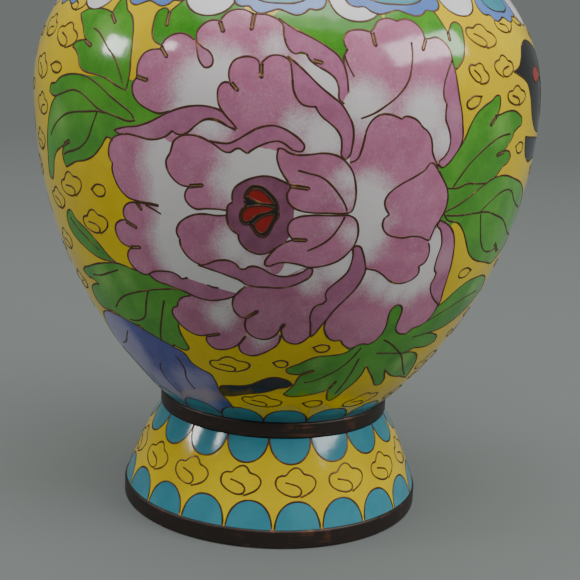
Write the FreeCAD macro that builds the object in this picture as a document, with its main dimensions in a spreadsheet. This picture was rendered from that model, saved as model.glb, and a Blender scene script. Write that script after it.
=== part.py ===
"""A cloisonne enamel vase: raised copper shells and rings, flat wire, and glass enamel between the wires.

Frame: millimetres, +Z up along the vase's axis, origin on the axis at the face that the foot ring stands
on. -Y is the side with the large peony. Every shell of revolution follows one outer line, the polished
enamel, and the enamel, copper and lining behind it are concentric offsets of that line.
"""
import FreeCAD, Part
import math
import os
import re
import Sketcher
from FreeCAD import Vector

DIMENSIONS = [
    # the outer line, from the foot up; a curve's centre is (radius, height)
    ("foot_curve", 75.0),
    ("foot_centre_radius", -42.0),
    ("foot_centre_height", -18.7),
    ("foot_ring_height", 3.7),
    ("waist_bottom", 19.1),
    ("waist_top", 22.3),
    ("belly_radius", 48.3),
    ("belly_height", 82.0),
    ("lower_belly_curve", 82.4),
    ("shoulder_curve", 29.0),
    ("shoulder_hole_radius", 17.0),
    ("neck_bottom", 113.4),
    ("neck_top", 150.0),
    ("throat_radius", 15.0),
    ("throat_height", 122.0),
    ("neck_curve", 46.0),
    ("total_height", 153.0),
    # the wall, from the outside in
    ("enamel_depth", 0.7),
    ("copper_depth", 0.8),
    ("lining_depth", 0.4),
    # rings and the closed bottom
    ("foot_ring_radius", 29.9),
    ("foot_ring_bore", 27.0),
    ("waist_ring_radius", 22.95),
    ("waist_ring_bore", 19.4),
    ("neck_ring_radius", 18.4),
    ("neck_ring_bore", 13.6),
    ("spigot_bottom", 109.0),
    ("flange_bottom", 111.0),
    ("lip_ring_radius", 25.3),
    ("lip_ring_bore", 21.8),
    ("ring_fillet", 0.5),
    ("lip_fillet", 1.2),
    ("plate_bottom", 20.2),
    ("plate_top", 21.0),
    # flat wire, seen on its edge, and the least ground between two wires
    ("wire_width", 0.4),
    ("wire_gap", 0.3),
    # the lappets that border each stretch, and the clouds in their ground
    ("foot_lower_width", 8.2),
    ("foot_lower_length", 5.0),
    ("foot_upper_width", 7.0),
    ("foot_upper_length", 4.4),
    ("body_lower_width", 7.1),
    ("body_lower_length", 4.6),
    ("neck_lower_width", 7.4),
    ("neck_lower_length", 6.5),
    ("neck_upper_width", 7.6),
    ("neck_upper_length", 7.5),
    ("root_clearance", 0.05),
    ("foot_cloud_width", 7.4),
    ("foot_cloud_height", 3.6),
    ("foot_cloud_level", 11.8),
    ("body_cloud_width", 6.4),
    ("body_cloud_height", 4.0),
    ("neck_cloud_width", 7.0),
    ("neck_cloud_height", 4.0),
    ("neck_cloud_level", 126.0),
    # the collar on the shoulder, in plan
    ("collar_outer_radius", 42.5),
    ("collar_inner_radius", 19.2),
    # the peony, from its heart out
    ("heart_radius", 5.0),
    ("inner_petals_radius", 15.5),
    ("outer_petals_radius", 27.5),
]

doc = FreeCAD.newDocument("cloisonne_vase")
sheet = doc.addObject("Spreadsheet::Sheet", "Sizes")
for row, (alias, number) in enumerate(DIMENSIONS, start=1):
    sheet.set(f"A{row}", alias)
    sheet.set(f"B{row}", str(number))
    sheet.setAlias(f"B{row}", alias)
doc.recompute()


def linked(text):
    """An expression on the sheet's aliases, with the sheet's name put before each."""
    return re.sub(r"[a-z_]+", r"Sizes.\g<0>", text)


def size(text):
    """The value of such an expression, in millimetres."""
    return float(sheet.evalExpression(linked(text)))


# ---------------------------------------------------------------- sketched pieces of revolution


def new_body(label):
    body = doc.addObject("PartDesign::Body", label)
    body.Label = label
    return body


def half_section(body, name):
    """A sketch in the body's XZ plane: across is the radius and up is the height."""
    plane = next(f for f in body.Origin.OriginFeatures if f.Role == "XZ_Plane")
    sketch = body.newObject("Sketcher::SketchObject", name)
    sketch.AttachmentSupport = [(plane, "")]
    sketch.MapMode = "FlatFace"
    return sketch


def hold(sketch, kind, geometry, point, text, name):
    """Holds a point's distance from the origin, across or up, at the value of an expression."""
    index = sketch.addConstraint(Sketcher.Constraint(kind, -1, 1, geometry, point, size(text)))
    sketch.renameConstraint(index, name)
    sketch.setExpression(f"Constraints.{name}", linked(text))


def revolve(body, sketch, name):
    feature = body.newObject("PartDesign::Revolution", name)
    feature.Profile = sketch
    feature.ReferenceAxis = (sketch, ["V_Axis"])
    feature.Angle = 360
    doc.recompute()
    return feature


def polygon_of_revolution(body, name, corners):
    """Turns a polygon, given as (radius, height) expressions, round the axis."""
    sketch = half_section(body, name + "_section")
    at = [Vector(size(r), size(z), 0) for r, z in corners]
    count = len(at)
    for i in range(count):
        sketch.addGeometry(Part.LineSegment(at[i], at[(i + 1) % count]), False)
    for i in range(count):
        sketch.addConstraint(Sketcher.Constraint("Coincident", i, 2, (i + 1) % count, 1))
    for i, (r, z) in enumerate(corners):
        hold(sketch, "DistanceX", i, 1, r, f"across_{i}")
        hold(sketch, "DistanceY", i, 1, z, f"up_{i}")
    return revolve(body, sketch, name)


def rectangle(inner, outer, low, high):
    return [(inner, low), (outer, low), (outer, high), (inner, high)]


def end_point(centre, radius, side, kind, value):
    """Where a circle meets a level (kind z) or an upright (kind r), on the shell's side of it."""
    if kind == "z":
        return Vector(centre.x + side * math.sqrt(radius**2 - (value - centre.y) ** 2), value, 0)
    return Vector(value, centre.y + math.sqrt(radius**2 - (value - centre.x) ** 2), 0)


def curved_shell(body, name, line, outer, inner, bottom, top):
    """Turns the space between two offsets of one arc of the outer line round the axis.

    line is (centre radius, centre height, curve radius, side): side 1 where the wall bulges outwards
    and -1 where it is hollow. outer and inner are depths behind the outer line. bottom and top are
    ("z" or "r", expression): the shell ends on a level or on an upright.
    """
    centre_r, centre_z, curve, side = line
    sign = "-" if side > 0 else "+"
    radii = [f"{curve} {sign} ({outer})", f"{curve} {sign} ({inner})"]
    centre = Vector(size(centre_r), size(centre_z), 0)
    sketch = half_section(body, name + "_section")
    ends = []
    for text in radii:
        radius = size(text)
        low = end_point(centre, radius, side, bottom[0], size(bottom[1]))
        high = end_point(centre, radius, side, top[0], size(top[1]))
        ends.append((low, high))
        first, last = (low, high) if side > 0 else (high, low)
        start = math.atan2(first.y - centre.y, first.x - centre.x) % (2 * math.pi)
        finish = math.atan2(last.y - centre.y, last.x - centre.x) % (2 * math.pi)
        circle = Part.Circle(centre, Vector(0, 0, 1), radius)
        sketch.addGeometry(Part.ArcOfCircle(circle, start, finish), False)
    sketch.addGeometry(Part.LineSegment(ends[0][0], ends[1][0]), False)
    sketch.addGeometry(Part.LineSegment(ends[0][1], ends[1][1]), False)
    low_end, high_end = (1, 2) if side > 0 else (2, 1)
    for cap, point in ((2, low_end), (3, high_end)):
        sketch.addConstraint(Sketcher.Constraint("Coincident", 0, point, cap, 1))
        sketch.addConstraint(Sketcher.Constraint("Coincident", 1, point, cap, 2))
    sketch.addConstraint(Sketcher.Constraint("Coincident", 0, 3, 1, 3))
    hold(sketch, "DistanceX", 0, 3, centre_r, "centre_across")
    hold(sketch, "DistanceY", 0, 3, centre_z, "centre_up")
    for i, text in enumerate(radii):
        index = sketch.addConstraint(Sketcher.Constraint("Radius", i, size(text)))
        sketch.renameConstraint(index, f"curve_{i}")
        sketch.setExpression(f"Constraints.curve_{i}", linked(text))
    for cap, (kind, text), name_of_end in ((2, bottom, "bottom"), (3, top, "top")):
        sketch.addConstraint(Sketcher.Constraint("Horizontal" if kind == "z" else "Vertical", cap))
        hold(sketch, "DistanceY" if kind == "z" else "DistanceX", cap, 1, text, name_of_end)
    return revolve(body, sketch, name)


def round_edges(body, feature, name, radius_text, keep):
    """Fillets the feature's closed circular edges for which keep(radius, height) is true."""
    edges = []
    for number, edge in enumerate(feature.Shape.Edges, start=1):
        circular = isinstance(edge.Curve, Part.Circle) and edge.isClosed()
        if circular and keep(edge.Curve.Radius, edge.Curve.Center.z):
            edges.append(f"Edge{number}")
    fillet = body.newObject("PartDesign::Fillet", name)
    fillet.Base = (feature, edges)
    fillet.Radius = size(radius_text)
    fillet.setExpression("Radius", linked(radius_text))
    doc.recompute()


FOOT_LINE = ("foot_centre_radius", "foot_centre_height", "foot_curve", 1)
LOWER_LINE = ("belly_radius - lower_belly_curve", "belly_height", "lower_belly_curve", 1)
UPPER_LINE = ("belly_radius - shoulder_curve", "belly_height", "shoulder_curve", 1)
NECK_LINE = ("throat_radius + neck_curve", "throat_height", "neck_curve", -1)
ENAMEL = ("0 * enamel_depth", "enamel_depth")
COPPER = ("enamel_depth", "enamel_depth + copper_depth")
LINING = ("enamel_depth + copper_depth", "enamel_depth + copper_depth + lining_depth")
FOOT_SPAN = (("z", "foot_ring_height"), ("z", "waist_bottom"))
LOWER_SPAN = (("z", "waist_top"), ("z", "belly_height"))
UPPER_SPAN = (("z", "belly_height"), ("r", "shoulder_hole_radius"))
NECK_SPAN = (("z", "neck_bottom"), ("z", "neck_top"))


def shell(label, *stretches):
    """A body of one or two stretches of the wall: each is (line, layer, span)."""
    body = new_body(label)
    for number, (line, layer, span) in enumerate(stretches):
        curved_shell(body, f"{label}_turn_{number}", line, *layer, *span)
    return body


def metal_rings():
    """The solid copper rings that cover the joints, and the plate that closes the bottom of the body."""
    foot = new_body("foot_ring")
    section = rectangle("foot_ring_bore", "foot_ring_radius", "0 * ring_fillet", "foot_ring_height")
    turned = polygon_of_revolution(foot, "foot_ring_turn", section)
    bore = size("foot_ring_bore")
    round_edges(foot, turned, "foot_ring_rounding", "ring_fillet", lambda r, z: r > bore)

    waist = new_body("waist_ring")
    section = rectangle("waist_ring_bore", "waist_ring_radius", "waist_bottom", "waist_top")
    turned = polygon_of_revolution(waist, "waist_ring_turn", section)
    inside = size("waist_ring_bore")
    round_edges(waist, turned, "waist_ring_rounding", "ring_fillet", lambda r, z: r > inside)

    plate = new_body("base_plate")
    section = rectangle("0 * plate_top", "waist_ring_bore", "plate_bottom", "plate_top")
    polygon_of_revolution(plate, "base_plate_turn", section)

    neck = new_body("neck_ring")
    section = [
        ("neck_ring_bore", "spigot_bottom"),
        ("shoulder_hole_radius", "spigot_bottom"),
        ("shoulder_hole_radius", "flange_bottom"),
        ("neck_ring_radius", "flange_bottom"),
        ("neck_ring_radius", "neck_bottom"),
        ("neck_ring_bore", "neck_bottom"),
    ]
    turned = polygon_of_revolution(neck, "neck_ring_turn", section)
    rim = size("neck_ring_radius") - 0.1
    round_edges(neck, turned, "neck_ring_rounding", "ring_fillet", lambda r, z: r > rim)

    lip = new_body("lip_ring")
    section = rectangle("lip_ring_bore", "lip_ring_radius", "neck_top", "total_height")
    turned = polygon_of_revolution(lip, "lip_ring_turn", section)
    mouth, seated = size("lip_ring_bore") + 0.1, size("neck_top") + 0.1
    round_edges(lip, turned, "lip_ring_rounding", "lip_fillet", lambda r, z: r > mouth or z > seated)
    return [foot, waist, plate, neck, lip]


def linings():
    """The plain enamel on every hidden face of the copper, which keeps it from warping in the kiln."""
    floor = new_body("floor_lining")
    section = rectangle("0 * plate_top", "waist_ring_bore", "plate_top", "plate_top + lining_depth")
    polygon_of_revolution(floor, "floor_lining_turn", section)
    under = new_body("base_lining")
    section = rectangle("0 * plate_top", "waist_ring_bore", "plate_bottom - lining_depth", "plate_bottom")
    polygon_of_revolution(under, "base_lining_turn", section)
    return [
        floor,
        under,
        shell("foot_lining", (FOOT_LINE, LINING, FOOT_SPAN)),
        shell("body_lining", (LOWER_LINE, LINING, LOWER_SPAN), (UPPER_LINE, LINING, UPPER_SPAN)),
        shell("neck_lining", (NECK_LINE, LINING, NECK_SPAN)),
    ]


def copper_shells():
    return [
        shell("foot_copper", (FOOT_LINE, COPPER, FOOT_SPAN)),
        shell("lower_body_copper", (LOWER_LINE, COPPER, LOWER_SPAN)),
        shell("upper_body_copper", (UPPER_LINE, COPPER, UPPER_SPAN)),
        shell("neck_copper", (NECK_LINE, COPPER, NECK_SPAN)),
    ]


# ---------------------------------------------------------------- cells of enamel between wires


def polar(radius, degrees):
    """A point of an outline, from its distance and its angle to the right of straight up."""
    turn = math.radians(degrees)
    return Vector(radius * math.sin(turn), radius * math.cos(turn), 0)


def closed(*edges):
    return Part.Face(Part.Wire(list(edges)))


def bow(start, middle, finish):
    return Part.Arc(start, middle, finish).toShape()


def arch(width, length):
    """A lappet: a straight root with a pointed arch on it. A negative length hangs down."""
    left, right, tip = Vector(-width / 2, 0, 0), Vector(width / 2, 0, 0), Vector(0, length, 0)
    shoulder = Vector(0.4 * width, 0.55 * length, 0)
    return closed(
        Part.LineSegment(left, right).toShape(),
        bow(right, shoulder, tip),
        bow(tip, Vector(-shoulder.x, shoulder.y, 0), left),
    )


def lens(length, width, turn):
    """A leaf: two equal arcs that meet in points. It leans to the right by turn degrees."""
    foot, tip = polar(-length / 2, turn), polar(length / 2, turn)
    right, left = polar(width / 2, turn + 90), polar(width / 2, turn - 90)
    return closed(bow(foot, right, tip), bow(tip, left, foot))


def petal(inner, outer, middle, half):
    """One petal of a ring, from inner to outer radius round middle degrees, with two lobes at its rim."""
    gap = size("wire_width + wire_gap") / 2
    low = half - math.degrees(math.asin(gap / inner))
    high = half - math.degrees(math.asin(gap / outer))
    lobe = outer + 0.12 * (outer - inner)
    return closed(
        bow(polar(inner, middle - low), polar(inner, middle), polar(inner, middle + low)),
        Part.LineSegment(polar(inner, middle + low), polar(outer, middle + high)).toShape(),
        bow(polar(outer, middle + high), polar(lobe, middle + high / 2), polar(outer, middle)),
        bow(polar(outer, middle), polar(lobe, middle - high / 2), polar(outer, middle - high)),
        Part.LineSegment(polar(outer, middle - high), polar(inner, middle - low)).toShape(),
    )


def lobed(width, height, count):
    """A cloud, a rock or a flower's heart: an ellipse's points joined by arcs that bulge outwards."""
    points = []
    for i in range(2 * count):
        swell = 1.0 if i % 2 else 0.8
        across = polar(swell, 180 * i / count)
        points.append(Vector(across.x * width / 2, across.y * height / 2, 0))
    edges = [bow(points[i - 2], points[i - 1], points[i]) for i in range(2, 2 * count, 2)]
    return closed(*edges, bow(points[-2], points[-1], points[0]))


def seat(line, height, angle):
    """A place on the outer line's surface: x runs right, y up the wall and z straight out of it."""
    centre_r, centre_z, curve = (size(text) for text in line[:3])
    lean = math.asin(line[3] * (height - centre_z) / curve)
    radius = centre_r + line[3] * curve * math.cos(lean)
    turn = math.radians(angle)
    right = Vector(math.cos(turn), math.sin(turn), 0)
    away = Vector(math.sin(turn), -math.cos(turn), 0)
    out = away * math.cos(lean) + Vector(0, 0, math.sin(lean))
    facing = FreeCAD.Rotation(right, out.cross(right), out)
    return FreeCAD.Placement(away * radius + Vector(0, 0, height), facing)


def body_seat(height, angle):
    return seat(LOWER_LINE if height < size("belly_height") else UPPER_LINE, height, angle)


def from_above(angle):
    """The plane above the shoulder, turned so that y runs out from the axis towards the angle."""
    turn = FreeCAD.Rotation(Vector(0, 0, 1), angle + 180)
    return FreeCAD.Placement(Vector(0, 0, size("neck_bottom")), turn)


# how far a cutter stands out of the enamel, and how far below it at the outline's furthest point
CUTTER_REACH = 2.0


def cutter(outline, place, grow):
    """A straight prism through the wall, over an outline grown or shrunk by part of a wire's width."""
    face = outline.makeOffset2D(grow, 2)
    box = outline.BoundBox
    reach = max(box.XMax, -box.XMin, box.YMax, -box.YMin)
    bend = size("belly_radius") - math.sqrt(max(size("belly_radius") ** 2 - reach**2, 1.0))
    face.translate(Vector(0, 0, -CUTTER_REACH - bend))
    prism = face.extrude(Vector(0, 0, 2 * CUTTER_REACH + bend))
    prism.Placement = place
    return prism


def tongue(inner, outer, half):
    """A collar lappet in plan: a sector from the neck ring out to a rounded end."""
    gap = size("wire_width + wire_gap") / 2
    shoulder = 0.9 * outer
    low = half - math.degrees(math.asin(gap / inner))
    high = half - math.degrees(math.asin(gap / shoulder))
    return closed(
        bow(polar(inner, -low), polar(inner, 0), polar(inner, low)),
        Part.LineSegment(polar(inner, low), polar(shoulder, high)).toShape(),
        bow(polar(shoulder, high), polar(outer, 0), polar(shoulder, -high)),
        Part.LineSegment(polar(shoulder, -high), polar(inner, -low)).toShape(),
    )


def turned(shapes, count):
    """Each shape and its copies, count in all, evenly round the vase's axis."""
    copies = []
    for i in range(count):
        for shape in shapes:
            copy = shape.copy()
            copy.rotate(Vector(0, 0, 0), Vector(0, 0, 1), i * 360 / count)
            copies.append(copy)
    return copies


class Stretch:
    """One coat of enamel, foot, body or neck, and the nodes that are inlaid in it."""

    def __init__(self, name, blank):
        self.name = name
        self.blank = blank.Shape
        self.taken = []
        self.nodes = []

    def add(self, node_name, solids):
        self.nodes.append(group(f"{self.name}_{node_name}", solids))

    def inlay(self, cells_name, wires_name, places, count=1):
        """Cells of enamel at each (outline, seat), and the wire round each, repeated round the axis."""
        half_wire = size("wire_width") / 2
        cells, wires = [], []
        for outline, place in places:
            outer = cutter(outline, place, half_wire)
            inner = cutter(outline, place, -half_wire)
            cells += self.blank.common(inner).Solids
            wires += self.blank.common(outer).cut(inner).Solids
            self.taken += turned([outer], count)
        self.add(cells_name, turned(cells, count))
        self.add(wires_name, turned(wires, count))

    def loops(self, wires_name, places, count=1):
        """Closed wires laid in the ground, whose colour is the same on both sides of them."""
        half_wire = size("wire_width") / 2
        wires = []
        for outline, place in places:
            band = cutter(outline, place, half_wire).cut(cutter(outline, place, -half_wire))
            wires += self.blank.common(band).Solids
            self.taken += turned([band], count)
        self.add(wires_name, turned(wires, count))

    def ground(self):
        """The yellow ground: the whole coat less the cells and the wires set into it."""
        self.add("ground", self.blank.cut(self.taken).Solids)
        return self.nodes


def group(label, solids):
    """One node of several separate solids."""
    node = doc.addObject("Part::Feature", label)
    node.Label = label
    node.Shape = Part.makeCompound(solids)
    return node


# each row of lappets: how many, the angle of the first, their width, length and the level of their roots
FOOT_LOWER_ROW = (20, 11, "foot_lower_width", "foot_lower_length", "foot_ring_height + root_clearance")
FOOT_UPPER_ROW = (18, 9, "foot_upper_width", "-foot_upper_length", "waist_bottom - root_clearance")
BODY_LOWER_ROW = (18, 6, "body_lower_width", "body_lower_length", "waist_top + root_clearance")
NECK_LOWER_ROW = (12, 0, "neck_lower_width", "neck_lower_length", "neck_bottom + root_clearance")
NECK_UPPER_ROW = (18, 0, "neck_upper_width", "-neck_upper_length", "neck_top - root_clearance")


def lappet_row(coat, name, line, row):
    count, first, width, length, level = row
    lappet = (arch(size(width), size(length)), seat(line, size(level), first))
    coat.inlay(name + "_lappets", name + "_lappet_wires", [lappet], count)


def foot_decoration():
    coat = Stretch("foot", shell("foot_coat", (FOOT_LINE, ENAMEL, FOOT_SPAN)))
    lappet_row(coat, "lower", FOOT_LINE, FOOT_LOWER_ROW)
    lappet_row(coat, "upper", FOOT_LINE, FOOT_UPPER_ROW)
    cloud = lobed(size("foot_cloud_width"), size("foot_cloud_height"), 4)
    coat.loops("cloud_wires", [(cloud, seat(FOOT_LINE, size("foot_cloud_level"), 10.8))], 16)
    return coat.ground()


def neck_decoration():
    coat = Stretch("neck", shell("neck_coat", (NECK_LINE, ENAMEL, NECK_SPAN)))
    lappet_row(coat, "lower", NECK_LINE, NECK_LOWER_ROW)
    lappet_row(coat, "upper", NECK_LINE, NECK_UPPER_ROW)
    cloud = lobed(size("neck_cloud_width"), size("neck_cloud_height"), 4)
    low = seat(NECK_LINE, size("neck_cloud_level"), 0)
    high = seat(NECK_LINE, size("neck_cloud_level + 8"), 22.5)
    coat.loops("cloud_wires", [(cloud, low), (cloud, high)], 8)
    return coat.ground()


def flower(coat, name, height, angle, scale):
    """A peony: its heart, five inner petals and eight outer ones, all on one seat."""
    place = body_seat(height, angle)
    gap = size("wire_width + wire_gap")
    heart = scale * size("heart_radius")
    middle = scale * size("inner_petals_radius")
    rim = scale * size("outer_petals_radius")
    lobes = 0.12 * (middle - heart)
    coat.inlay(name + "_heart", name + "_heart_wire", [(lobed(2 * heart, 2 * heart, 3), place)])
    inner = [(petal(heart + gap, middle, 72 * i, 36), place) for i in range(5)]
    outer = [(petal(middle + lobes + gap, rim, 22.5 + 45 * i, 22.5), place) for i in range(8)]
    coat.inlay(name + "_petals", name + "_petal_wires", inner + outer)


# the leaves round each peony: height, angle, lean to the right, length and width
FRONT_LEAVES = [
    (88, -46, -35, 17, 8),
    (72, -55, -80, 20, 10),
    (54, -53, 30, 18, 9),
    (88, 49, 35, 16, 8),
    (71, 62, 95, 22, 11),
    (53, 57, 130, 18, 9),
    (34, 20, 80, 20, 7),
]
REAR_LEAVES = [
    (88, 208, 60, 18, 8),
    (66, 222, 100, 20, 10),
    (66, 138, -100, 20, 10),
    (88, 152, -60, 18, 8),
    (39, 198, 130, 15, 7),
    (39, 162, -130, 15, 7),
]
# the clouds in the ground beside them: height and angle
CLOUDS = [
    (86, -72), (72, -80), (56, -78), (40, -68), (80, -96), (64, -100), (48, -98), (34, -98),
    (88, -120), (72, -114), (56, -122), (40, -126), (84, 108), (70, 100), (54, 84), (40, 72),
    (62, 118), (48, 106), (34, 92), (80, 122), (42, 132), (30, 120), (30, 158), (30, 206),
]


# the collar: how many petals, and the angle of the first; a lappet hangs between each two
COLLAR_COUNT = 12
COLLAR_FIRST = 12


def leaves_on_body(rows):
    leaves = []
    for height, angle, lean, length, width in rows:
        leaves.append((lens(length, width, lean), body_seat(height, angle)))
    return leaves


def body_decoration():
    stretches = [(LOWER_LINE, ENAMEL, LOWER_SPAN), (UPPER_LINE, ENAMEL, UPPER_SPAN)]
    coat = Stretch("body", shell("body_coat", *stretches))
    lappet_row(coat, "lower", LOWER_LINE, BODY_LOWER_ROW)
    pitch = 360 / COLLAR_COUNT
    collar = tongue(size("collar_inner_radius"), size("collar_outer_radius"), pitch / 4)
    petals, lappets = from_above(COLLAR_FIRST), from_above(COLLAR_FIRST + pitch / 2)
    coat.inlay("collar_petals", "collar_petal_wires", [(collar, petals)], COLLAR_COUNT)
    coat.inlay("collar_lappets", "collar_lappet_wires", [(collar, lappets)], COLLAR_COUNT)
    flower(coat, "peony", height=66.5, angle=3.6, scale=1.0)
    flower(coat, "rear_peony", height=66.0, angle=180, scale=0.72)
    coat.inlay("leaves", "leaf_wires", leaves_on_body(FRONT_LEAVES))
    coat.inlay("rear_leaves", "rear_leaf_wires", leaves_on_body(REAR_LEAVES))
    coat.inlay("rock", "rock_wire", [(lobed(20, 15, 5), body_seat(34, -38))])
    coat.inlay("branch", "branch_wire", [(lens(13, 3, 80), body_seat(30, -7))])
    coat.inlay("bird", "bird_wires", [(lens(15, 8, 60), body_seat(84, 76))])
    cloud = lobed(size("body_cloud_width"), size("body_cloud_height"), 4)
    coat.loops("cloud_wires", [(cloud, body_seat(height, angle)) for height, angle in CLOUDS])
    return coat.ground()


def check(nodes):
    """Stops if any object of the document failed, or if a node isn't made of sound solids."""
    for thing in doc.Objects:
        failed = {"Invalid", "Error"} & set(thing.State)
        if failed:
            raise RuntimeError(f"{thing.Label} is {', '.join(failed)}")
    for node in nodes:
        shape = node.Shape
        if shape.isNull() or not shape.isValid() or not shape.Solids:
            raise RuntimeError(f"{node.Label} has no sound solid")


def main():
    nodes = metal_rings() + copper_shells() + linings()
    nodes += foot_decoration() + body_decoration() + neck_decoration()
    doc.recompute()
    check(nodes)
    os.makedirs("parts", exist_ok=True)
    for node in nodes:
        node.Shape.exportStep(f"parts/{node.Label}.step")
        print(f"{node.Label}: {len(node.Shape.Solids)} solids, {node.Shape.Volume:.1f} mm3")


main()
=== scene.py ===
# %% [markdown]
# # A cloisonne vase
#
# A cloisonne vase is a copper vessel with a picture drawn on it in flat wire. The wire is bent on edge,
# soldered down, and every little fenced cell is filled with powdered glass and fired until the enamel
# stands level with the wire. Then the whole face is ground and polished.
#
# The rings at the foot, waist, neck and lip are bare copper. They come ready made in the frame, so this
# script gives them a finish, and builds the enamel and the wire that lie on the copper between them.

# %% Start from the frame
import math

import bpy
import numpy as np
from mathutils import Matrix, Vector
from mathutils import geometry as flat_geometry


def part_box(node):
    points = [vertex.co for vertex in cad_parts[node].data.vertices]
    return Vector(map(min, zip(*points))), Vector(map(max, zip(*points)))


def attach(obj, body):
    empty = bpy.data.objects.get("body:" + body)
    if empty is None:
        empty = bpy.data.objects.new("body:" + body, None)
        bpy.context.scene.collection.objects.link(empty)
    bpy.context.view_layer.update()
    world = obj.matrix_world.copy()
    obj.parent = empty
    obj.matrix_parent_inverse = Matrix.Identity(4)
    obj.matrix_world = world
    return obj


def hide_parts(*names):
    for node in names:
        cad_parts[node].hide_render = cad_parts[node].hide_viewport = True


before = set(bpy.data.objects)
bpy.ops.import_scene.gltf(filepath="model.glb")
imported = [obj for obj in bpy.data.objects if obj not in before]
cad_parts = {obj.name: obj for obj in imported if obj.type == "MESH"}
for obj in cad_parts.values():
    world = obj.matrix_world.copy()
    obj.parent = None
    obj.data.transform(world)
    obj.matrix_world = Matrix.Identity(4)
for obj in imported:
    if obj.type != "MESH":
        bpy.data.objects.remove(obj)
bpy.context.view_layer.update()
MM = 0.001

# %% [markdown]
# ## The camera
#
# The vase is seen from a little above its middle, from close by, so the foot looks narrower than it
# would from far away. The camera leans slightly, which makes the vase lean too. We build the camera's
# three axes from its heading, tilt and lean, and put them in a matrix.

# %% The camera
CAMERA_AWAY = 236.1 * MM
CAMERA_HEIGHT = 95.2 * MM
CAMERA_TILT = math.radians(12.54)
CAMERA_HEADING = math.radians(0.57)
CAMERA_LEAN = math.radians(2.79)
CAMERA_LENS = 74.48


def camera_axes(heading, tilt, lean):
    """Forward from heading and tilt; right and up square to it, then turned about it by the lean."""
    forward = np.array([
        math.sin(heading) * math.cos(tilt), math.cos(heading) * math.cos(tilt), -math.sin(tilt)
    ])
    level = np.cross(forward, [0, 0, 1])
    level /= np.linalg.norm(level)
    above = np.cross(level, forward)
    right = math.cos(lean) * level + math.sin(lean) * above
    up = -math.sin(lean) * level + math.cos(lean) * above
    return right, up, -forward


camera = bpy.data.objects.new("camera", bpy.data.cameras.new("camera"))
bpy.context.scene.collection.objects.link(camera)
camera.data.lens = CAMERA_LENS
camera.data.sensor_width = 36
camera.data.clip_start = 0.01
axes = np.array(camera_axes(CAMERA_HEADING, CAMERA_TILT, CAMERA_LEAN)).T
turned = Matrix([list(row) for row in axes]).to_4x4()
camera.matrix_world = Matrix.Translation((0, -CAMERA_AWAY, CAMERA_HEIGHT)) @ turned
bpy.context.scene.camera = camera
print("camera at", tuple(round(v, 4) for v in camera.location))

# %% [markdown]
# ## The wall as a sheet of paper
#
# Drawing on a round belly is easier on paper. Each stretch of the wall (foot, body, neck) is made of
# arcs, so we can unroll it: `s` is the distance up the wall and `u` the distance round it, both in
# millimetres. One small class knows how to roll the paper back on, at any depth behind the surface.

# %% The wall
WAIST_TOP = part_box("waist_ring")[1][2] / MM
WAIST_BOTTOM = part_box("waist_ring")[0][2] / MM
FOOT_RING_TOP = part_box("foot_ring")[1][2] / MM
NECK_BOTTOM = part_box("neck_ring")[1][2] / MM
NECK_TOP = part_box("lip_ring")[0][2] / MM
BELLY_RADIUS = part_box("body_ground")[1][0] / MM
BELLY_HEIGHT = 82.0
LOWER_CURVE = 82.4
SHOULDER_CURVE = 29.0
SHOULDER_HOLE = 17.0
THROAT_RADIUS = 15.0
THROAT_HEIGHT = 122.0
NECK_CURVE = 46.0
FOOT_CURVE = 75.0
FOOT_CENTRE = (-42.0, -18.7)


class Wall:
    """A stretch of wall unrolled: u runs round it (at the radius `round_at`) and s up it, from `low` to
    `high`, in mm.

    Each arc is (first s, centre radius, centre height, curve radius, first angle, side). A point at
    angle a and depth d behind the surface is at radius  centre + side * (curve - side * d) * cos a
    and height  centre + (curve - side * d) * sin a, where side is 1 on a bulge and -1 in a hollow.
    """

    def __init__(self, round_at, low, high, arcs):
        self.round_at = round_at
        self.around = 2 * math.pi * round_at
        self.low, self.high = low, high
        self.arcs = arcs

    def section(self, s, depth):
        """Radius and height, and the outward direction as (radial, upward), at each s."""
        s = np.asarray(s, float)
        radius, height = np.zeros_like(s), np.zeros_like(s)
        radial, upward = np.zeros_like(s), np.zeros_like(s)
        for first, centre_r, centre_z, curve, angle, side in self.arcs:
            here = (s >= first) | (first == self.low)
            a = angle + (s[here] - first) / curve
            size = curve - side * np.broadcast_to(depth, s.shape)[here]
            radius[here] = centre_r + side * size * np.cos(a)
            height[here] = centre_z + size * np.sin(a)
            radial[here] = np.cos(a)
            upward[here] = side * np.sin(a)
        return radius, height, radial, upward

    def place(self, u, s, depth=0.0):
        """Points in metres: the unrolled point is turned about the axis by u / round_at from -Y."""
        radius, height, _, _ = self.section(s, depth)
        turn = np.asarray(u) / self.round_at
        return np.stack([radius * np.sin(turn), -radius * np.cos(turn), height], axis=-1) * MM

    def out(self, u, s):
        """The outward unit normal."""
        _, _, radial, upward = self.section(s, 0.0)
        turn = np.asarray(u) / self.round_at
        return np.stack([radial * np.sin(turn), -radial * np.cos(turn), upward], axis=-1)


def arc_angle(height, centre, curve):
    return math.asin((height - centre) / curve)


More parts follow.
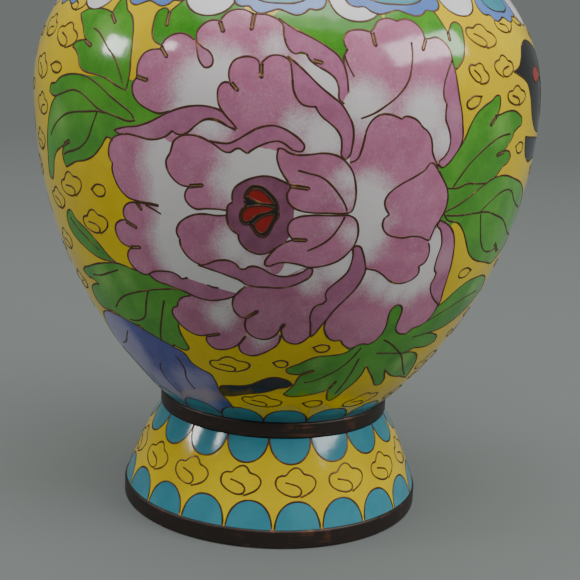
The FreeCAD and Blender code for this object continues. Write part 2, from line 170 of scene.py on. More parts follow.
# The s of the belly's widest line: the drawing on the body is measured from it.
EQUATOR = 66.3
low_angle = arc_angle(WAIST_TOP, BELLY_HEIGHT, LOWER_CURVE)
body_low = EQUATOR + low_angle * LOWER_CURVE
shoulder_centre = BELLY_RADIUS - SHOULDER_CURVE
body_high = EQUATOR + SHOULDER_CURVE * math.acos((SHOULDER_HOLE - shoulder_centre) / SHOULDER_CURVE)
BODY = Wall(BELLY_RADIUS, body_low, body_high, [
    (body_low, BELLY_RADIUS - LOWER_CURVE, BELLY_HEIGHT, LOWER_CURVE, low_angle, 1),
    (EQUATOR, shoulder_centre, BELLY_HEIGHT, SHOULDER_CURVE, 0.0, 1),
])
foot_low = arc_angle(FOOT_RING_TOP, FOOT_CENTRE[1], FOOT_CURVE)
foot_high = arc_angle(WAIST_BOTTOM, FOOT_CENTRE[1], FOOT_CURVE)
FOOT = Wall(30.0, 0.0, FOOT_CURVE * (foot_high - foot_low), [(0.0, *FOOT_CENTRE, FOOT_CURVE, foot_low, 1)])
neck_low = arc_angle(NECK_BOTTOM, THROAT_HEIGHT, NECK_CURVE)
neck_high = arc_angle(NECK_TOP, THROAT_HEIGHT, NECK_CURVE)
NECK = Wall(18.0, 0.0, NECK_CURVE * (neck_high - neck_low), [
    (0.0, THROAT_RADIUS + NECK_CURVE, THROAT_HEIGHT, NECK_CURVE, neck_low, -1),
])
for name, wall in (("foot", FOOT), ("body", BODY), ("neck", NECK)):
    print(f"{name}: {wall.around:.0f} mm round, from {wall.low:.1f} to {wall.high:.1f} mm up")

# %% [markdown]
# ## Drawing outlines
#
# A maker bends each wire by hand over a paper drawing. We do the same: a stroke is a few points that a
# smooth curve passes through, and strokes meet in corners. `wire` strokes are seen as metal. `bare`
# strokes only close a cell where another cell will lie over its edge, or where two colours melt
# together with no wire between them.

# %% Smooth strokes
STEP = 0.45


def smooth(points, step=STEP):
    """A curve through the points: cubic Hermite spans, whose tangent at each point is the mean of the
    two chords' directions, each weighted by the other chord's length."""
    p = np.array(points, float)
    leg = np.diff(p, axis=0)
    chord = np.linalg.norm(leg, axis=1)
    slope = leg / chord[:, None]
    tangent = np.concatenate([slope[:1], slope])
    if len(p) > 2:
        before, after = chord[:-1, None], chord[1:, None]
        tangent[1:-1] = (slope[:-1] * after + slope[1:] * before) / (before + after)
        tangent[0] = 1.5 * slope[0] - 0.5 * tangent[1]
        tangent[-1] = 1.5 * slope[-1] - 0.5 * tangent[-2]
    at = np.concatenate([[0], np.cumsum(chord)])
    t = np.linspace(0, at[-1], max(2, round(at[-1] / step) + 1))
    i = np.clip(np.searchsorted(at, t, side="right") - 1, 0, len(chord) - 1)
    x = ((t - at[i]) / chord[i])[:, None]
    reach = chord[i][:, None]
    return (
        (2 * x**3 - 3 * x**2 + 1) * p[i] + (x**3 - 2 * x**2 + x) * reach * tangent[i]
        + (3 * x**2 - 2 * x**3) * p[i + 1] + (x**3 - x**2) * reach * tangent[i + 1]
    )


def wire(*points):
    return True, points


def bare(*points):
    return False, points


def inside(points, outline):
    """Whether each point is inside a closed outline: a ray to the right crosses it an odd number of times."""
    low, high = outline.min(axis=0), outline.max(axis=0)
    hit = np.all((points > low) & (points < high), axis=1)
    x, y = points[hit, 0][:, None], points[hit, 1][:, None]
    x0, y0 = outline[:, 0], outline[:, 1]
    x1, y1 = np.roll(x0, -1), np.roll(y0, -1)
    spans = (y0 > y) != (y1 > y)
    with np.errstate(divide="ignore", invalid="ignore"):
        crossing = x0 + (y - y0) * (x1 - x0) / (y1 - y0)
    hit[hit] = (spans & (x < crossing)).sum(axis=1) % 2 == 1
    return hit


print("a test stroke has", len(smooth([(0, 0), (3, 1), (5, 0)])), "points")

# %% [markdown]
# ## One drawing for each stretch
#
# The drawing keeps its cells in the order they are drawn, and a later cell hides what is under it, as
# paper cut-outs would. Wires remember when they were drawn, so that a wire stops where a later cell
# covers it. A stroke may go over the drawing's edge, because it joins up with itself behind the vase.

# %% The drawing
SLOT_HALF = 0.23
SLOT_TIP = 0.9
SLOT_SHOULDER = 0.4


class Drawing:
    """Cells and wires on one sheet. While `move` is set, it puts every point elsewhere on the sheet."""

    def __init__(self, wall):
        self.wall = wall
        self.move = None
        self.outlines = []
        self.enamels = []
        self.pales = []
        self.wires = []

    def placed(self, points):
        return [self.move(*point) for point in points] if self.move else list(points)

    def cell(self, enamel, *strokes, pale=()):
        """A cell filled with one enamel. Each stroke starts where the last one ended.

        pale is a list of (u, s, radius): the enamel fades to its second colour towards each spot.
        """
        strokes = [(wired, self.placed(points)) for wired, points in strokes]
        self.fill(enamel, strokes, [(*self.placed([(u, s)])[0], radius) for u, s, radius in pale])

    def fill(self, enamel, strokes, spots=()):
        """A cell from strokes that are already in place. The last one is led back to the first."""
        first = strokes[0][1][0]
        pieces = []
        for number, (wired, points) in enumerate(strokes):
            if number:
                points = [strokes[number - 1][1][-1], *points]
            if number == len(strokes) - 1 and points[-1] != first:
                points = [*points, first]
            pieces.append((wired, smooth(points)))
        self.outlines.append(np.concatenate([piece[:-1] for _, piece in pieces]))
        self.enamels.append(enamel)
        self.pales.append(list(spots))
        for wired, piece in pieces:
            if wired:
                self.wires.append((len(self.outlines), piece))

    def line(self, *points):
        """A wire on its own."""
        self.wires.append((len(self.outlines), smooth(self.placed(points))))

    def slot(self, start, end):
        """A wire folded back on itself, with bright solder in the fold."""
        start, end = (np.array(point) for point in self.placed([start, end]))
        along = (end - start) / np.linalg.norm(end - start)
        across = SLOT_HALF * np.array([-along[1], along[0]])
        tip = end + SLOT_TIP * SLOT_HALF * along
        shoulder = SLOT_SHOULDER * across
        self.fill("solder", [
            wire(tuple(start + across), tuple(end + across)),
            wire(tuple(tip + shoulder), tuple(tip - shoulder), tuple(end - across)),
            wire(tuple(start - across)), bare(tuple(start + across)),
        ])

    def copies(self, outline):
        """The outline and, where it crosses the drawing's edge, the same outline one turn away."""
        half = self.wall.around / 2
        for shift in (-self.wall.around, 0.0, self.wall.around):
            moved = outline + [shift, 0.0]
            if moved[:, 0].max() > -half and moved[:, 0].min() < half:
                yield moved

    def visible(self, order, path):
        """The runs of a wire that no cell drawn after it covers."""
        half = self.wall.around / 2
        rolled = np.stack([(path[:, 0] + half) % self.wall.around - half, path[:, 1]], axis=1)
        shown = (path[:, 1] > self.wall.low) & (path[:, 1] < self.wall.high)
        for outline in self.outlines[order:]:
            for moved in self.copies(outline):
                shown &= ~inside(rolled, moved)
        breaks = np.flatnonzero(np.diff(shown.astype(int))) + 1
        for run in np.split(np.arange(len(path)), breaks):
            if shown[run[0]] and len(run) > 1:
                yield path[max(run[0] - 1, 0):run[-1] + 2]


# %% [markdown]
# ## From drawing to enamel
#
# The sheet is cut along every outline at once, by a Delaunay triangulation that keeps the outlines as
# edges. A light grid of extra points lets the triangles follow the belly. Each triangle belongs to the
# last cell that holds its middle, or to the ground. A cell is then made a solid slab: its face is the
# polished surface, its back is near the copper, and a fence closes its rim.

# %% Cutting the sheet
GRID = 2.2
FINE_GRID = 1.1
ENAMEL_DEPTH = 0.6
BLEND = 6.0
CLEARANCE = 0.45
SHADE_STEP = 0.618


def grid_points(wall, step, keep):
    """A grid of points on the sheet, with every other row moved along by half a step."""
    rows = max(2, round((wall.high - wall.low) / step))
    columns = round(wall.around / step)
    s = np.linspace(wall.low, wall.high, rows + 1)[1:-1]
    u = (np.arange(columns) + 0.5) / columns * wall.around - wall.around / 2
    u, s = np.meshgrid(u, s)
    u = u + 0.25 * step * np.where(np.arange(len(s)) % 2, 1, -1)[:, None]
    points = np.stack([u.ravel(), s.ravel()], axis=1)
    return points[keep(points)]


def far_from(points, others, gap):
    """Which points have none of the others within the gap: both are dropped into boxes of that size."""
    taken = {tuple(box) for box in np.floor(others / gap).astype(int)}
    boxes = np.floor(points / gap).astype(int)
    near = [(i, j) for i in (-1, 0, 1) for j in (-1, 0, 1)]
    return np.array([not any((x + i, y + j) in taken for i, j in near) for x, y in boxes])


def frame_edges(wall):
    """The sheet's own rim, as points and as edges between them."""
    half = wall.around / 2
    across = np.linspace(-half, half, round(wall.around / GRID) + 1)
    up = np.linspace(wall.low, wall.high, max(3, round((wall.high - wall.low) / GRID)) + 1)
    sides = [
        np.stack([across, np.full_like(across, wall.low)], axis=1)[:-1],
        np.stack([np.full_like(up, half), up], axis=1)[:-1],
        np.stack([across[::-1], np.full_like(across, wall.high)], axis=1)[:-1],
        np.stack([np.full_like(up, -half), up[::-1]], axis=1)[:-1],
    ]
    return np.concatenate(sides)


def closed_edges(first, count):
    order = np.arange(count)
    return np.stack([first + order, first + (order + 1) % count], axis=1)


def cut(drawing):
    """The sheet's points, its triangles, and for each triangle the number of its cell (-1 is ground)."""
    wall = drawing.wall
    loops = [frame_edges(wall)]
    for outline in drawing.outlines:
        loops += list(drawing.copies(outline))
    drawn = np.concatenate(loops)
    firsts = np.concatenate([[0], np.cumsum([len(loop) for loop in loops])])[:-1]
    edges = np.concatenate([closed_edges(first, len(loop)) for first, loop in zip(firsts, loops)])
    fading = [outline for outline, pale in zip(drawing.outlines, drawing.pales) if pale]

    def in_fading(points):
        hit = np.zeros(len(points), bool)
        for outline in fading:
            hit |= inside(points, outline)
        return hit

    coarse = grid_points(wall, GRID, lambda points: ~in_fading(points))
    fine = grid_points(wall, FINE_GRID, in_fading)
    coarse = coarse[far_from(coarse, drawn, CLEARANCE * GRID)]
    if len(fine):
        fine = fine[far_from(fine, drawn, CLEARANCE * FINE_GRID)]
    points = np.concatenate([drawn, coarse, fine])
    found = flat_geometry.delaunay_2d_cdt(points.tolist(), edges.tolist(), [], 0, 1e-5)
    points = np.array([tuple(v) for v in found[0]])
    triangles = np.array([t for t in found[2] if len(t) == 3])
    middles = points[triangles].mean(axis=1)
    on_sheet = (np.abs(middles[:, 0]) < wall.around / 2) & (middles[:, 1] > wall.low) & (
        middles[:, 1] < wall.high)
    triangles, middles = triangles[on_sheet], middles[on_sheet]
    owner = np.full(len(triangles), -1)
    for number, outline in enumerate(drawing.outlines):
        for moved in drawing.copies(outline):
            owner[inside(middles, moved)] = number
    return points, triangles, owner


# %% Meshes from arrays
def piece_from(name, points, faces, normals=None, **attributes):
    """A new object from arrays. normals are one for each corner of each face; the rest are point values."""
    faces = np.asarray(faces)
    count, corners = faces.shape
    mesh = bpy.data.meshes.new(name)
    mesh.vertices.add(len(points))
    mesh.vertices.foreach_set("co", np.asarray(points, np.float32).ravel())
    mesh.loops.add(count * corners)
    mesh.loops.foreach_set("vertex_index", faces.ravel().astype(np.int32))
    mesh.polygons.add(count)
    mesh.polygons.foreach_set("loop_start", np.arange(0, count * corners, corners, dtype=np.int32))
    mesh.polygons.foreach_set("use_smooth", np.ones(count, bool))
    for word, values in attributes.items():
        layer = mesh.attributes.new(word, "FLOAT", "POINT")
        layer.data.foreach_set("value", np.asarray(values, np.float32))
    mesh.update(calc_edges=True)
    if normals is not None:
        mesh.normals_split_custom_set(np.asarray(normals).reshape(-1, 3).tolist())
    piece = bpy.data.objects.new(name, mesh)
    bpy.context.scene.collection.objects.link(piece)
    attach(piece, "root")
    return piece


def welded(wall, points):
    """Points on the sheet's right edge are the same as those on its left edge once it is rolled up."""
    half = wall.around / 2
    rolled = points.copy()
    rolled[points[:, 0] > half - 1e-3, 0] = -half
    _, first, same = np.unique(np.round(rolled, 3), axis=0, return_index=True, return_inverse=True)
    return rolled[first], same.ravel()


def slab(wall, points, triangles):
    """One solid: the triangles on the surface, the same turned over behind, and a fence round the rim."""
    used, local = np.unique(triangles, return_inverse=True)
    top = local.reshape(-1, 3)
    count = len(used)
    u, s = points[used].T
    edges = np.concatenate([top[:, [0, 1]], top[:, [1, 2]], top[:, [2, 0]]])
    keys = np.sort(edges, axis=1)
    _, which, times = np.unique(keys, axis=0, return_inverse=True, return_counts=True)
    rim = edges[times[which.ravel()] == 1]
    a, b = rim.T
    fence = np.concatenate([np.stack([b, a, a + count], 1), np.stack([b, a + count, b + count], 1)])
    out = wall.out(u, s)
    place = np.concatenate([wall.place(u, s), wall.place(u, s, ENAMEL_DEPTH)])
    corner = place[fence]
    square = np.cross(corner[:, 1] - corner[:, 0], corner[:, 2] - corner[:, 0])
    square /= np.maximum(np.linalg.norm(square, axis=1, keepdims=True), 1e-12)
    faces = np.concatenate([top, top[:, ::-1] + count, fence])
    normals = np.concatenate([out[top], -out[top[:, ::-1]], np.repeat(square[:, None], 3, axis=1)])
    return place, faces, normals, used


def paleness(points, spots):
    """0 outside every pale spot, rising to 1 over the first BLEND millimetres inside its radius."""
    value = np.zeros(len(points))
    for u, s, radius in spots:
        inward = radius - np.hypot(points[:, 0] - u, points[:, 1] - s)
        value = np.maximum(value, np.clip(inward / BLEND, 0.0, 1.0))
    return value


def enamel_pieces(drawing, prefix):
    """One object for each enamel, made of one solid slab for each of its cells."""
    points, triangles, owner = cut(drawing)
    turn = points[triangles]
    flipped = np.cross(turn[:, 1] - turn[:, 0], turn[:, 2] - turn[:, 0]) < 0
    triangles[flipped] = triangles[flipped][:, ::-1]
    points, same = welded(drawing.wall, points)
    triangles = same[triangles]
    whole = (triangles[:, 0] != triangles[:, 1]) & (triangles[:, 1] != triangles[:, 2]) & (
        triangles[:, 2] != triangles[:, 0])
    triangles, owner = triangles[whole], owner[whole]
    enamels = ["ground"] + drawing.enamels
    pieces = {}
    for enamel in dict.fromkeys(enamels):
        place, faces, normals, pale, shade, first = [], [], [], [], [], 0
        for number in [n - 1 for n, word in enumerate(enamels) if word == enamel]:
            mine = triangles[owner == number]
            if not len(mine):
                continue
            p, f, n, used = slab(drawing.wall, points, mine)
            spots = drawing.pales[number] if number >= 0 else []
            place.append(p)
            faces.append(f + first)
            normals.append(n)
            pale.append(np.tile(paleness(points[used], spots), 2))
            shade.append(np.full(len(p), (number * SHADE_STEP) % 1.0))
            first += len(p)
        if place:
            pieces[enamel] = piece_from(
                f"{prefix}_{enamel}", np.concatenate(place), np.concatenate(faces), np.concatenate(normals),
                pale=np.concatenate(pale), shade=np.concatenate(shade),
            )
    print(prefix, {word: len(piece.data.polygons) for word, piece in pieces.items()})
    return pieces


# %% [markdown]
# ## Wire
#
# The wire is a flat copper strip that stands on edge, so from outside we see only its thin rim, which
# grinding has left level with the glass or a hair above it. A profile of six points is carried along each
# stroke. Its width wavers a little, because the strip never stands quite upright.

# %% Wires from strokes
WIRE_WIDTH = 0.34
WIRE_PROUD = 0.035
WIRE_DEPTH = 0.35
PROFILE = np.array([(-0.5, -WIRE_DEPTH), (-0.5, 0.0), (-0.3, WIRE_PROUD), (0.3, WIRE_PROUD), (0.5, 0.0),
                    (0.5, -WIRE_DEPTH)])


def strip(wall, path):
    """The profile carried along a path: its first number goes across the path, its second straight out."""
    u, s = path.T
    out = wall.out(u, s)
    middle = wall.place(u, s)
    along = np.gradient(middle, axis=0)
    across = np.cross(along, out)
    across /= np.linalg.norm(across, axis=1, keepdims=True)
    length = np.arange(len(path)) * STEP
    wavering = WIRE_WIDTH * (1.0 + 0.12 * np.sin(length * 0.9 + u[0]) + 0.06 * np.sin(length * 2.3 + s[0]))
    rings = (
        middle[:, None]
        + across[:, None] * PROFILE[None, :, :1] * wavering[:, None, None] * MM
        + out[:, None] * PROFILE[None, :, 1:] * MM
    )
    count, size = len(path), len(PROFILE)
    corner = np.arange(count - 1)[:, None] * size + np.arange(size)[None]
    onward = np.arange(count - 1)[:, None] * size + (np.arange(size)[None] + 1) % size
    faces = np.stack([corner, onward, onward + size, corner + size], axis=-1).reshape(-1, 4)
    ends = np.array([[0, 5, 4, 1], [1, 4, 3, 2]])
    faces = np.concatenate([faces, ends[:, ::-1], ends + (count - 1) * size])
    return rings.reshape(-1, 3), faces


def wire_piece(drawing, name):
    points, faces, first = [], [], 0
    for order, path in drawing.wires:
        for run in drawing.visible(order, path):
            if len(run) > 1 and np.ptp(run, axis=0).max() > 0.05:
                p, f = strip(drawing.wall, run)
                points.append(p)
                faces.append(f + first)
                first += len(p)
    piece = piece_from(name, np.concatenate(points), np.concatenate(faces))
    print(name, len(points), "runs of wire,", len(piece.data.polygons), "faces")
    return piece

# %% [markdown]
# ## The picture
#
# The big peony fills the front of the body. Its petals are drawn from the back of the flower to the
# front. Each petal has scalloped rim lobes, and most have a rolled edge, a narrow darker cell. The
# distances are millimetres on the unrolled sheet. The drawing's `move` lets us draw it again elsewhere.

# %% The peony's outer petals
def outer_petals(sheet):
    """The petals behind, from the lower left round to the upper right."""
    sheet.cell(
        "pink", wire((0.9, 26), (0.8, 24.8), (0.2, 23.6), (-1.3, 22.4), (-3.2, 21.3), (-5, 20.7),
                     (-6.5, 20.8),
                     (-8, 21.6), (-8.3, 22.9), (-7.3, 24.3), (-6.5, 25.3)),
        bare((-5, 28), (-1, 28)), pale=[(-3, 25.5, 4)])
    sheet.cell(
        "pink", wire((-17.5, 33), (-19.5, 32.3), (-20.6, 31.3), (-21, 30.3)),
        wire((-22.3, 29.6), (-22.7, 28.4), (-22, 27), (-21, 25.8), (-19.5, 24.8), (-17.5, 24.3),
             (-15.3, 24.7)),
        wire((-15.8, 23.3), (-15.3, 22.3), (-14, 21.5), (-12.5, 21.5), (-10.5, 22), (-8.8, 22.9), (-7.7, 24),
             (-6.7, 25.3)),
        bare((-5, 33), (-12, 35)), pale=[(-11.5, 29.8, 4.8), (-9, 33, 4.5)])
    sheet.slot((-15.3, 24.5), (-12.6, 25.2))
    sheet.cell(
        "pink", wire((11.2, 31.8), (10.1, 29.6), (9.9, 28), (10.4, 26.7), (11.5, 25.4), (13, 24.8)),
        wire((14.2, 24.9), (15, 24), (16, 23.3), (17.5, 22.9), (18.5, 23.4)),
        wire((20, 23.8), (21.5, 23.6), (22.5, 24), (23.6, 25.2), (24.1, 26.5), (24.2, 28), (23.9, 29.5),
             (23.8, 30.8), (24.2, 31.8), (25, 32.3), (25.9, 32.1), (26.7, 31.2), (26.9, 29.8), (26.9, 28),
             (27.2, 26.7), (28, 25.9), (29.5, 25.3), (31, 25.2)),
        wire((31.8, 25.9), (32.5, 26.4), (34, 26.6), (35.5, 27.2), (36.5, 28.3), (37, 29.8), (36.9, 31.2)),
        bare((33, 40), (31, 48), (27, 46), (18, 43), (14, 40)),
        pale=[(16.5, 39.5, 5), (20, 37.4, 5), (23.5, 36, 5), (27, 36.4, 5.5), (29.3, 39, 6.5),
              (30.5, 43, 6.5)])
    sheet.cell(
        "mauve", wire((29.3, 48.4), (31.5, 47.5), (33.3, 46), (34.5, 44), (35.3, 41.5), (35.9, 39),
                      (36.2, 36.5), (36.6, 34), (37.2, 32), (37.4, 30.8)),
        wire((36.7, 31.3), (35, 32.3), (33.5, 33.5), (32.5, 34.6), (31.9, 36), (32.2, 37.3), (32.2, 38.2)),
        wire((31.4, 39), (31.1, 40.5), (31.1, 42), (31.2, 43.8), (30.7, 45.3), (29.8, 46.8), (29, 47.4)),
        pale=[(33, 41, 5)])


def left_petals(sheet):
    sheet.cell(
        "pink", wire((-28.9, 45.7), (-29.4, 46.2), (-29.6, 47.2), (-29, 48.3), (-28, 49), (-26.3, 49.3),
                     (-24, 49.3), (-22, 49.2), (-20.3, 49.1)),
        bare((-8, 52), (2, 44), (6, 40), (-6, 36), (-15, 35.8)),
        bare((-26, 36.1)),
        wire((-27.3, 35.9), (-28.8, 36.3), (-30, 37.2), (-30.6, 38.5), (-30.2, 39.8), (-28.9, 40.8)),
        wire((-30.3, 41), (-31.6, 41.6), (-32.3, 43), (-32.1, 44.4), (-31, 45.4), (-29.3, 45.8)),
        pale=[(-14, 43, 12), (-3, 41, 13), (-18, 38, 6)])
    sheet.slot((-29.2, 45.6), (-27.1, 44.8))
    sheet.slot((-29, 40.9), (-27, 41.1))
    sheet.line((-24.3, 49.1), (-22.3, 48.3), (-20.5, 47.4))
    sheet.cell(
        "pink", wire((-20.3, 49.2), (-23, 49.5), (-26, 49.6), (-28, 50), (-29.5, 51.1), (-30.6, 52.9),
                     (-31, 54.5),
                     (-30.8, 55.5)),
        wire((-31.5, 56.6), (-31.4, 58.1), (-30.5, 59.6), (-29, 60.4), (-27, 60.7), (-25, 60.5), (-23, 60.2),
             (-21.5, 60.3), (-20, 60.8), (-19.3, 61.3)),
        bare((-12, 61), (-2, 60.5), (0, 56), (-8, 49.2)),
        pale=[(-17, 56, 9.5), (-17, 50.5, 9), (-9, 56, 11), (-3, 58, 10)])
    sheet.slot((-26.2, 49.4), (-25.4, 48.3))
    sheet.cell(
        "mauve", wire((-26.2, 36.1), (-24.5, 36.9), (-22.5, 37.2), (-20.5, 37.2), (-19.4, 36.8),
                      (-18.8, 36.2)),
        wire((-18, 36.4), (-17, 36.7), (-15.5, 36.5), (-14, 35.8), (-12.5, 35.3), (-11, 35.3), (-9.5, 35.9),
             (-8.2, 36.4), (-7, 36.4), (-6.2, 36)),
        wire((-7.3, 34.9), (-8.8, 33.7), (-11, 32.9), (-13.5, 32.5), (-16, 32.8), (-19, 33.8), (-22, 34.5),
             (-25, 35.2)), pale=[(-22, 36, 3)])
    sheet.cell("pink", bare((-20, 37), (13, 37), (13, 62), (-20, 62)), pale=[(-4, 50, 60)])


def upper_petals(sheet):
    sheet.cell(
        "pink", wire((-19, 65), (-21, 64.5), (-23, 65), (-25, 66), (-26.1, 67.4), (-26.2, 68.8),
                     (-25.4, 69.9)),
        wire((-25.6, 71.2), (-25.4, 72.6), (-24.5, 73.9), (-23, 74.5), (-21.7, 74.6)),
        wire((-21.2, 76), (-20, 77), (-18.5, 77.4), (-17, 77.1), (-15.8, 76.4)),
        bare((-8, 74), (-10, 62), (-20, 61)), pale=[(-11.5, 68, 9), (-16, 65, 5)])
    sheet.slot((-25.6, 70), (-23.5, 69.6))
    sheet.slot((-21.6, 75), (-20.3, 73.5))
    sheet.cell(
        "pink", wire((-14.3, 75.2), (-15.3, 76.3), (-15.6, 77.5), (-15, 78.8), (-14, 79.6), (-12.8, 79.9),
                     (-11.9, 79.7)),
        wire((-11.6, 80.4), (-11, 81.2), (-9.5, 81.9), (-8, 81.9), (-6.5, 81.3)),
        wire((-5.6, 81.3), (-4.5, 81.3), (-3, 80.9), (-2, 80.4), (-1.2, 79.5), (-0.9, 77.8), (-0.5, 76.3),
             (0.3, 75.4), (1, 75.05)),
        bare((10, 72), (9, 67), (4, 62), (-11, 62), (-13.8, 72.2)),
        pale=[(-11, 68.5, 9), (-2, 76, 4), (5, 71, 7)])
    sheet.slot((-11.9, 79.6), (-11.1, 78.1))
    sheet.slot((-6.2, 81.4), (-6.4, 78.7))
    sheet.cell(
        "mauve", wire((-15.4, 76.3), (-15, 74.5), (-14.2, 72.8), (-13.3, 72.1), (-12.3, 72.5), (-12.2, 73.6),
                      (-13, 74.7), (-14.2, 75.3)), pale=[(-13.5, 73.5, 3)])
    sheet.cell(
        "mauve", wire((-2, 80.7), (0, 79.4), (3, 78), (6, 76.4), (8, 74.9), (9, 73.2), (9.4, 71.4),
                      (9.6, 69.3),
                      (9, 67.6)),
        wire((8.2, 68.2), (8, 70), (7.6, 71.2), (6.5, 72.2), (5, 73)),
        wire((4, 73.6), (3.2, 74.3), (2.8, 75)),
        wire((2, 75.3), (1, 75), (0.2, 75.4), (-0.6, 76.6), (-1, 78), (-1.2, 79.5)),
        pale=[(4, 76.4, 2.5)])
    sheet.slot((3.9, 74.1), (5.2, 73.8))
    sheet.cell(
        "pink", wire((9.4, 76.1), (8.9, 77), (8.9, 78), (9.6, 79), (11, 79.4), (12.3, 79.4), (13.5, 79.1)),
        wire((14.2, 79.8), (14.8, 80.8), (16, 81.5), (17.5, 81.6), (18.6, 81.2)),
        wire((19.8, 81.6), (21, 81.6), (22.3, 81), (23.2, 80), (23.5, 79), (23.6, 78.4)),
        wire((24.4, 78.4), (25.5, 78.7), (26.5, 78.6), (27.6, 77.9), (28.4, 76.9), (28.7, 75.9), (28.7, 75)),
        wire((28, 74), (27.4, 72.8), (26.8, 71.5), (26.5, 70), (26.6, 68.9), (27.2, 68)),
        wire((27.1, 66.5), (27.2, 65.4), (27.8, 64.3), (28.4, 63), (28.6, 61.5), (28.3, 60.2), (27.5, 59.2),
             (26.8, 58.7)),
        bare((20, 58), (10.5, 58.5), (10.8, 63), (9.5, 66.3), (8.8, 67.6), (9.6, 69.3)),
        wire((9.4, 71.4), (8.9, 75.2)),
        pale=[(12, 67.5, 6), (23, 66, 6.5), (27, 62, 5)])
    sheet.slot((13.8, 79), (14.2, 77))
    sheet.slot((23.7, 78.2), (22.9, 76.6))
    sheet.line((20.8, 77.7), (20.8, 76), (20.5, 74), (20, 72), (18, 69.2), (16, 67.6), (14, 66.3),
               (11.8, 65.4))
    sheet.line((8.9, 75), (9.5, 73.6), (10.5, 71.8))
    sheet.cell(
        "mauve", wire((28.7, 75), (29.1, 73.5), (29.5, 71), (30, 68.5), (30.6, 66.5), (31, 64.5),
                      (31.3, 62.5),
                      (30.9, 61), (30, 59.7), (28.7, 58.2), (27.5, 57.6), (26.6, 58.2)),
        wire((26.8, 58.7), (27.5, 59.2), (28.3, 60.2), (28.6, 61.5), (28.4, 63), (27.8, 64.3), (27.2, 65.4),
             (27.1, 66.5), (27.2, 68)),
        wire((26.6, 68.9), (26.5, 70), (26.8, 71.5), (27.4, 72.8), (28, 74)),
        pale=[(29, 66, 3)])


print("the outer petals are ready to draw")

# %% The peony's inner petals
def right_petals(sheet):
    sheet.cell(
        "pink", wire((10.5, 58.4), (11.7, 59), (12.3, 60.5), (12.6, 62), (13, 64), (13.8, 65.3), (15, 66.1),
                     (16.5, 66.2), (18, 65.8), (18.7, 65.5)),
        wire((19.3, 65.9), (20.5, 65.8), (21.8, 65.2), (22.8, 64.2), (23.6, 63.7), (24.4, 62.8), (24.9, 61.5),
             (25.1, 60.3), (25.6, 59.3), (26.2, 58.4), (26.8, 57.4)),
        bare((28, 52), (27.9, 44.3)),
        wire((28.5, 43.3), (28.7, 41.8), (28.3, 40.6), (27.1, 40)),
        wire((27.5, 39.3), (27.6, 38.6), (26.8, 37.6), (25, 36.9), (23, 36.9), (21.3, 37.5), (19.5, 38.8),
             (18, 39.6), (16, 40)),
        bare((12, 43), (11, 50), (11, 56)),
        pale=[(14, 50.5, 8), (13.5, 46, 7)])
    sheet.cell(
        "pink", wire((27, 57), (28, 55.8), (29.4, 54), (30, 52.3), (29.9, 50), (29.3, 48.7), (28.6, 47.5),
                     (28.2, 46), (28, 44.9)),
        wire((27.2, 45), (26, 45.5), (24, 45.8), (22, 45.6), (20.5, 45.8), (18.8, 46.3), (17.8, 47.3),
             (17.5, 48.3),
             (17.7, 49.2)),
        wire((18.5, 49.8)),
        wire((17.5, 51.2), (17.3, 52), (17.6, 53), (18.5, 54), (20, 55), (22.5, 56.3), (24.2, 57.4),
             (25, 58.4)),
        pale=[(18.6, 48.8, 2.5)])


def lower_petals(sheet):
    sheet.cell(
        "pink", wire((-6.2, 36), (-7.5, 34.8), (-8.6, 33.5), (-8.9, 32), (-8.5, 30.6), (-7.4, 29.6),
                     (-6.2, 29.5)),
        wire((-6.6, 28), (-6.3, 26.6), (-5.2, 25.5), (-3.5, 24.9), (-1.8, 25), (-0.5, 25.7), (0.4, 26.8),
             (0.9, 28)),
        wire((1, 27), (1.3, 25.8), (2, 24.8), (3, 24.3), (4.5, 24.1), (6, 24.8), (7, 25.9)),
        bare((9, 29), (11, 35), (13.4, 40), (13.2, 44.2), (12.3, 43.4), (6, 41), (-2, 37)),
        pale=[(10.8, 41, 6), (6, 38, 4.5)])
    sheet.slot((-6.1, 29.6), (-4, 31))
    sheet.slot((0.9, 27.6), (1.5, 28.5))
    sheet.cell(
        "mauve", wire((12.8, 43.8), (13.2, 44.3), (14, 44.2), (14.8, 43), (15.5, 41.3), (15.9, 39.8),
                      (15.5, 37.8),
                      (14.5, 35.8), (13, 33.9), (11.4, 31.9), (10.1, 29.8), (9, 28), (8.1, 26.5),
                      (7.3, 25.8)),
        wire((7.1, 27.3), (6.9, 28.8), (6.6, 30.3), (6.8, 31.6), (7.6, 32.8), (8.8, 33.2), (9.4, 34)),
        wire((9, 35), (9.2, 35.8), (10.2, 37), (11.5, 38.2), (12.5, 39.5), (12.9, 41), (13, 42.5)))


